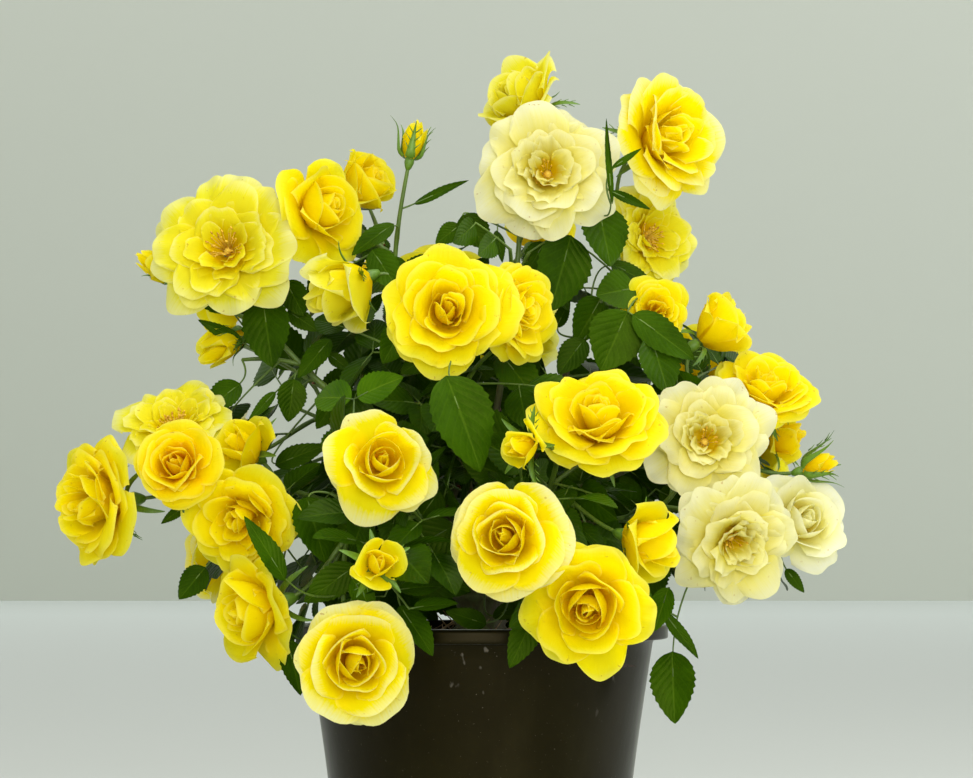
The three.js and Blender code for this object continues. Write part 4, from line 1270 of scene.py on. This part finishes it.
def plan_twigs(mass, index):
    """A mass's twigs and its random numbers, with one passed over for each rose as in the model."""
    random = Seeded(SEEDS["shoots"] + index)
    mass["twigs"] = skeleton_of(mass, canes[mass["name"]], random)
    for rose in mass["roses"]:
        random()
    mass["random"] = random
    mass["draw"] = draws("leaves", index)


def grow_twigs(mass, draw):
    """Stems and stalks whole, and each shoot as far as the last leaf that found room on it."""
    for twig in mass["twigs"]:
        curve = twig["curve"]
        until = twig.get("last_leaf", 0) if twig["kind"] == "shoot" else 1
        if until == 0:
            continue
        count = max(8, int(curve.length() * until / 5))
        line = np.array([curve.at(until * i / (count - 1)) for i in range(count)])
        if twig["kind"] == "stem":
            line = np.vstack([line[0] - curve.tangent(0) * 2.0, line])
        radii = np.linspace(*twig["radii"], len(line))
        twigs.tube(line, radii, 8, knotted(len(line), 8, 0.03, draw))
        if twig["kind"] == "stalk":
            prickles_along(twigs, curve, twig["radii"], STALK_BRISTLES, draw, 0.8)
        else:
            prickles_along(thorns, curve, twig["radii"], TWIG_PRICKLES, draw, 0.8 * until)


def leaf_places(mass):
    """Where leaves stand on a mass's stem, shoots and stalks, and on its cane's upper part."""
    cane = canes[mass["name"]]
    long = cane["curve"].length()
    starts = np.arange(CANE_LEAVES_FROM * long, long, CANE_LEAVES_APART)
    places = [(cane, s / long) for s in starts]
    for twig in mass["twigs"]:
        long = twig["curve"].length()
        start, until, spacing = LEAF_SPACING[twig["kind"]]
        places += [(twig, s / long) for s in np.arange(start * long, until * long, spacing)]
    return places


def mark_leaf(twig, t):
    """Notes how far up its twig a leaf stands."""
    twig["last_leaf"] = max(twig.get("last_leaf", 0), t)


def grow_leaves_seen(rows, draw):
    """The leaflets that the photo shows one by one, each on a stalk from the nearest twig."""
    carriers = [twig for mass in MASSES for twig in mass["twigs"]] + list(canes.values())
    stations = np.vstack([twig["curve"].samples(STATIONS) for twig in carriers])
    on_twigs = len(stations)
    for x, z, tip_x, tip_z, depth, wide, shade in rows:
        foot = seen(x, z, depth + 3)
        tip = seen(tip_x, tip_z, depth + draw.uniform(-8, 4))
        along = unit(tip - foot)
        long = np.linalg.norm(tip - foot)
        normal = square_to(along, heading(draw.uniform(-30, 30), draw.uniform(0, 30)))
        leaflet(leaves[shade], foot, along, normal, long, draw, 0.05, 0.22, wide / long)
        for share in (0.25, 0.5, 0.8):
            room.take(foot + along * long * share, 0.58 * long)
        far = np.linalg.norm(stations - foot, axis=1) + 3.0 * np.maximum(0, foot[1] - stations[:, 1])
        near = far.argsort()[:NEAR_PLACES:8]
        lines = []
        for start in stations[near]:
            reach = np.linalg.norm(start - foot)
            bend = foot - along * 0.4 * reach + vec(0, 0.2 * reach, 0)
            lines.append(Curve(start, bend, foot, foot + along * 0.35 * long).samples(14))
        free = [k for k, line in enumerate(lines) if not room.blossom_in_way(line[1:9])]
        chosen = free[0] if free else 0
        if near[chosen] < on_twigs:
            carrier, step = divmod(near[chosen], STATIONS)
            mark_leaf(carriers[carrier], step / (STATIONS - 1))
        twigs.tube(lines[chosen], np.linspace(0.7, 0.35, 14), 5)
        stations = np.vstack([stations, lines[chosen][3:9]])


def grow_leaves():
    """Leaves by the rule, one to each mass in turn, at a place drawn from those that are left."""
    queues = [leaf_places(mass) for mass in MASSES]
    order = 0
    while any(queues):
        for mass, queue in zip(MASSES, queues):
            if not queue:
                continue
            random, draw = mass["random"], mass["draw"]
            twig, t = queue.pop(int(random() * len(queue)))
            size = draw.uniform(*LEAF_SIZES)
            pairs = 2 if draw.random() < TWO_PAIRS_SHARE else 1
            root, forward = twig["curve"].at(t), twig["curve"].tangent(t)
            if room.blossom_in_way(root[None]):
                continue
            if compound_leaf(leaves, twigs, room, root, forward, order, random, draw, size, pairs):
                mark_leaf(twig, t)
        order += 1


grow_stem(draws("stem"))
for index, mass in enumerate(MASSES):
    grow_cane(canes[mass["name"]], draws("canes", index))
    plan_twigs(mass, index)
grow_leaves_seen(LEAVES_SEEN, draws("leaves_seen"))
grow_leaves()
grow_leaves_seen(LEAVES_BEHIND, draws("leaves_behind"))
for index, mass in enumerate(MASSES):
    grow_twigs(mass, draws("twigs", index))
for index, rose in enumerate(ROSES):
    draw = draws("roses", index)
    rose_petals(petals[rose.shade], rose, draw)
    calyx(sepals, rose, draw)
    if rose.kind in STAMEN_KINDS:
        stamens(filaments, anthers, rose, draw)


# Pot and soil

def wall_radius(z):
    """The model's straight wall, drawn in a little under the lip as the photo shows."""
    straight = BASE_RADIUS + (RIM_RADIUS - LIP_OUT - BASE_RADIUS) * z / POT_HEIGHT
    return straight - WALL_DRAWN_IN * math.sin(math.pi * min(max(z / SOIL_LEVEL, 0), 1))


def lathe(heap, profile, wobble):
    r, z = np.array(profile, float).T[..., None]
    angles = np.arange(POT_SIDES) * 2 * math.pi / POT_SIDES
    r = r + wobble(z, angles)
    points = np.stack([r * np.cos(angles), r * np.sin(angles), z + 0 * r], -1)
    heap.grid(points[::-1], closed=True)


def arc(centre, radius, start, end, count):
    angles = np.radians(np.linspace(start, end, count))
    return [(centre[0] + radius * math.cos(a), centre[1] + radius * math.sin(a)) for a in angles]


def make_pot():
    heap = Heap()
    lip_foot = POT_HEIGHT - LIP_HEIGHT
    inner = RIM_RADIUS - LIP_OUT - POT_WALL
    profile = [(0.5, 1.6), (BASE_RADIUS - 14, 1.6), (BASE_RADIUS - 11, 0.4), (BASE_RADIUS - 9, 0)]
    profile += [(BASE_RADIUS - 3, 0)] + arc((BASE_RADIUS - 2, 2), 2, -90, -10, 5)
    profile += [(wall_radius(z), z) for z in np.linspace(6, lip_foot - 2.5, 30)]
    profile += arc((wall_radius(lip_foot) + 2, lip_foot - 2), 2, 180, 90, 4)
    profile += [(RIM_RADIUS - 2.4, lip_foot)] + arc((RIM_RADIUS - 1.2, lip_foot + 1.2), 1.2, -90, 0, 4)
    profile += [(RIM_RADIUS, z) for z in (lip_foot + 2.5, POT_HEIGHT - 3)]
    profile += arc((RIM_RADIUS - 2, POT_HEIGHT - 2), 2, 0, 90, 5)
    profile += [(RIM_RADIUS - 4.5, POT_HEIGHT), (inner + 1.5, POT_HEIGHT)]
    profile += arc((inner + 1.2, POT_HEIGHT - 1.2), 1.2, 90, 180, 4)
    profile += [(wall_radius(z) - POT_WALL, z) for z in np.linspace(lip_foot, POT_FLOOR + 2, 14)]
    profile += [(wall_radius(POT_FLOOR) - POT_WALL - 2, POT_FLOOR), (0.5, POT_FLOOR)]

    def wobble(z, angle):
        sway = 0.35 * np.sin(3 * angle + 0.6) + 0.2 * np.sin(7 * angle + z / 60)
        return sway * smooth(z, 20, 120) * (1 - smooth(z, 196, 206))

    lathe(heap, profile, wobble)
    heap.piece("pot_shell", pot_look(), "pot_plastic", ["pot"])


def soil_height(r, inner):
    return SOIL_LEVEL + SOIL_HEAP * (1 - smooth(r, 0.1 * inner, 0.95 * inner))


def make_soil():
    draw = draws("soil")
    heap, bark_bits, straws = Heap(), Heap(), Heap()
    inner = wall_radius(SOIL_LEVEL) - POT_WALL - CLEAR
    r = np.append(np.linspace(0.5, inner, 46), inner)[:, None]
    angles = np.arange(160) * 2 * math.pi / 160
    clods = sum(
        size * np.sin(r / wave + phase) * np.cos(angles * turns + 3 * phase)
        for size, wave, phase, turns in CLODS
    )
    z = soil_height(r, inner) + clods * 0.8 + draw.normal(0, 0.55, (len(r), len(angles)))
    z[-1] = SOIL_LEVEL - 14
    heap.grid(np.stack([r * np.cos(angles), r * np.sin(angles), z], -1), closed=True)
    for k in range(SOIL_BITS):
        radius = inner * math.sqrt(draw.uniform(0.02, 0.96))
        place = level(draw.uniform(0, ANY_TURN)) * radius
        place = place + UP * (float(soil_height(radius, inner)) + draw.uniform(0, 1.4))
        aim = unit(vec(draw.normal(), draw.normal(), 0.25 * draw.normal()))
        if k % STRAW_EVERY == 0:
            aim = unit(aim + UP * draw.uniform(0, 0.7))
            line = [place, place + aim * draw.uniform(5, 11), place + aim * draw.uniform(12, 20) + UP]
            straws.tube(line, (0.45, 0.5, 0.3), 4)
        else:
            long = draw.uniform(1.5, 5.0)
            line = [place - aim * long / 2, place, place + aim * long / 2]
            radii = np.array([0.6, 1, 0.5]) * draw.uniform(0.6, 1.7)
            bark_bits.tube(line, radii, 5, draw.uniform(0.6, 1.3, (3, 5)))
    crumb = plain_look("soil_crumbs", (0.02, 0.011, 0.006), (0.09, 0.05, 0.025), 0.9)
    straw = plain_look("soil_straw", (0.22, 0.14, 0.06), (0.42, 0.30, 0.15), 0.8)
    heap.piece("soil_surface", soil_look(), "potting_mix", ["soil"])
    bark_bits.piece("soil_bark", crumb, "potting_mix", smooth_faces=False)
    straws.piece("soil_straws", straw, "potting_mix")


make_pot()
make_soil()
bark.piece("canes_bark", bark_look(), "bark", ["stem", *CANE_NODES])
thorns.piece("prickles", plain_look("prickle", (0.16, 0.035, 0.015), (0.34, 0.11, 0.04), 0.4), "bark")
green = twig_look("green_twig", (0.11, 0.19, 0.015), (0.035, 0.075, 0.006))
twigs.piece("green_twigs", green, "foliage", SPRAY_NODES)
green = twig_look("sepal", (0.12, 0.24, 0.015), (0.045, 0.11, 0.006))
sepals.piece("sepals_and_hips", green, "foliage")
thread = plain_look("filament", (0.75, 0.45, 0.03), (0.85, 0.62, 0.08), 0.5)
filaments.piece("stamen_threads", thread, "petals")
anthers.piece("anthers", plain_look("anther", (0.48, 0.25, 0.010), (0.78, 0.49, 0.03), 0.6), "petals")
for shade, heap in leaves.items():
    heap.piece("leaves_" + shade, leaf_look("leaf_" + shade, *LEAF_LOOKS[shade]), "foliage", SPRAY_NODES)
for shade, heap in petals.items():
    slot = "pale_petals" if shade in PALE_SHADES else "petals"
    heap.piece("petals_" + shade, petal_look("petal_" + shade, shade), slot, SPRAY_NODES)


# Floor, wall, light and camera

def stage_plane(name, corners, colour_of):
    mesh = bpy.data.meshes.new(name)
    mesh.from_pydata(corners, [], [(0, 1, 2, 3)])
    look = Look(name, Roughness=0.6, Specular_IOR_Level=0.2)
    look.colour(colour_of(look))
    mesh.materials.append(look.material)
    put_in_scene(name, mesh)


def table_colour(look):
    """Painted light: a little paler far away, where the lamps don't reach, making up for their light
    there.
    """
    away = look.node("ShaderNodeSeparateXYZ", {0: look.place()}).outputs[1]
    return look.ramp(look.between(away, 1.5, 9.0), (0.0, (0.55, 0.57, 0.535)), (1.0, (0.78, 0.83, 0.81)))


def wall_colour(look):
    """Painted light: a little brighter towards the right and upwards, where more light falls."""
    parts = look.node("ShaderNodeSeparateXYZ", {0: look.place()}).outputs
    right = look.between(parts[0], -2.8, 2.8)
    up = look.between(parts[2], 0.0, 3.5)
    share = look.total(0.0, (right, 0.36), (up, 0.64))
    return look.ramp(share, (0.0, (0.610, 0.640, 0.555)), (1.0, (0.85, 0.880, 0.785)))


near_edge = [(-HALL, -HALL, 0), (HALL, -HALL, 0)]
wall_foot = [(HALL, WALL_AWAY, 0), (-HALL, WALL_AWAY, 0)]
wall_top = [(-HALL, WALL_AWAY, WALL_HEIGHT), (HALL, WALL_AWAY, WALL_HEIGHT)]
stage_plane("table_top", near_edge + wall_foot, table_colour)
stage_plane("wall", wall_foot + wall_top, wall_colour)


def area_light(name, place, size, power, colour):
    light = bpy.data.lights.new(name, "AREA")
    light.shape = "DISK"
    light.size = size
    light.energy = power
    light.color = colour
    away = unit(vec(*place) - vec(*LAMP_TARGET))
    across = unit(np.cross(UP, away))
    basis = np.array([across, np.cross(away, across), away]).T
    made = put_in_scene(name, light)
    made.matrix_world = Matrix.Translation(place) @ Matrix(basis.tolist()).to_4x4()


def light_all_round():
    """Bright from behind, the right and above, dimmer from the room behind the camera."""
    world = bpy.data.worlds.new("studio")
    world.use_nodes = True
    bpy.context.scene.world = world
    sky = Nodes(world.node_tree)
    aim = sky.node("ShaderNodeTexCoord").outputs["Generated"]
    toward = sky.node("ShaderNodeVectorMath", {0: aim, 1: BRIGHT_SIDE}, operation="DOT_PRODUCT")
    share = sky.between(toward.outputs["Value"], -0.6, 1.0)
    colour = sky.ramp(share, (0.0, (0.62, 0.63, 0.62)), (0.55, (1.0, 1.02, 1.0)))
    sky.feed(sky.tree.nodes["Background"].inputs[0], colour)


def make_camera():
    camera = bpy.data.cameras.new("camera")
    camera.sensor_width = SENSOR_WIDTH
    camera.sensor_fit = "HORIZONTAL"
    camera.lens = SENSOR_WIDTH * FOCAL_PIXELS / IMAGE_WIDTH
    camera.clip_end = 100
    made = put_in_scene("camera", camera)
    made.location = CAMERA_PLACE
    made.rotation_euler = (math.radians(90 + CAMERA_PITCH), 0, 0)
    bpy.context.scene.camera = made


for name, (place, size, power, colour) in LAMPS.items():
    area_light(name, place, size, power, colour)
light_all_round()
make_camera()
bpy.context.scene.view_settings.view_transform = "Standard"
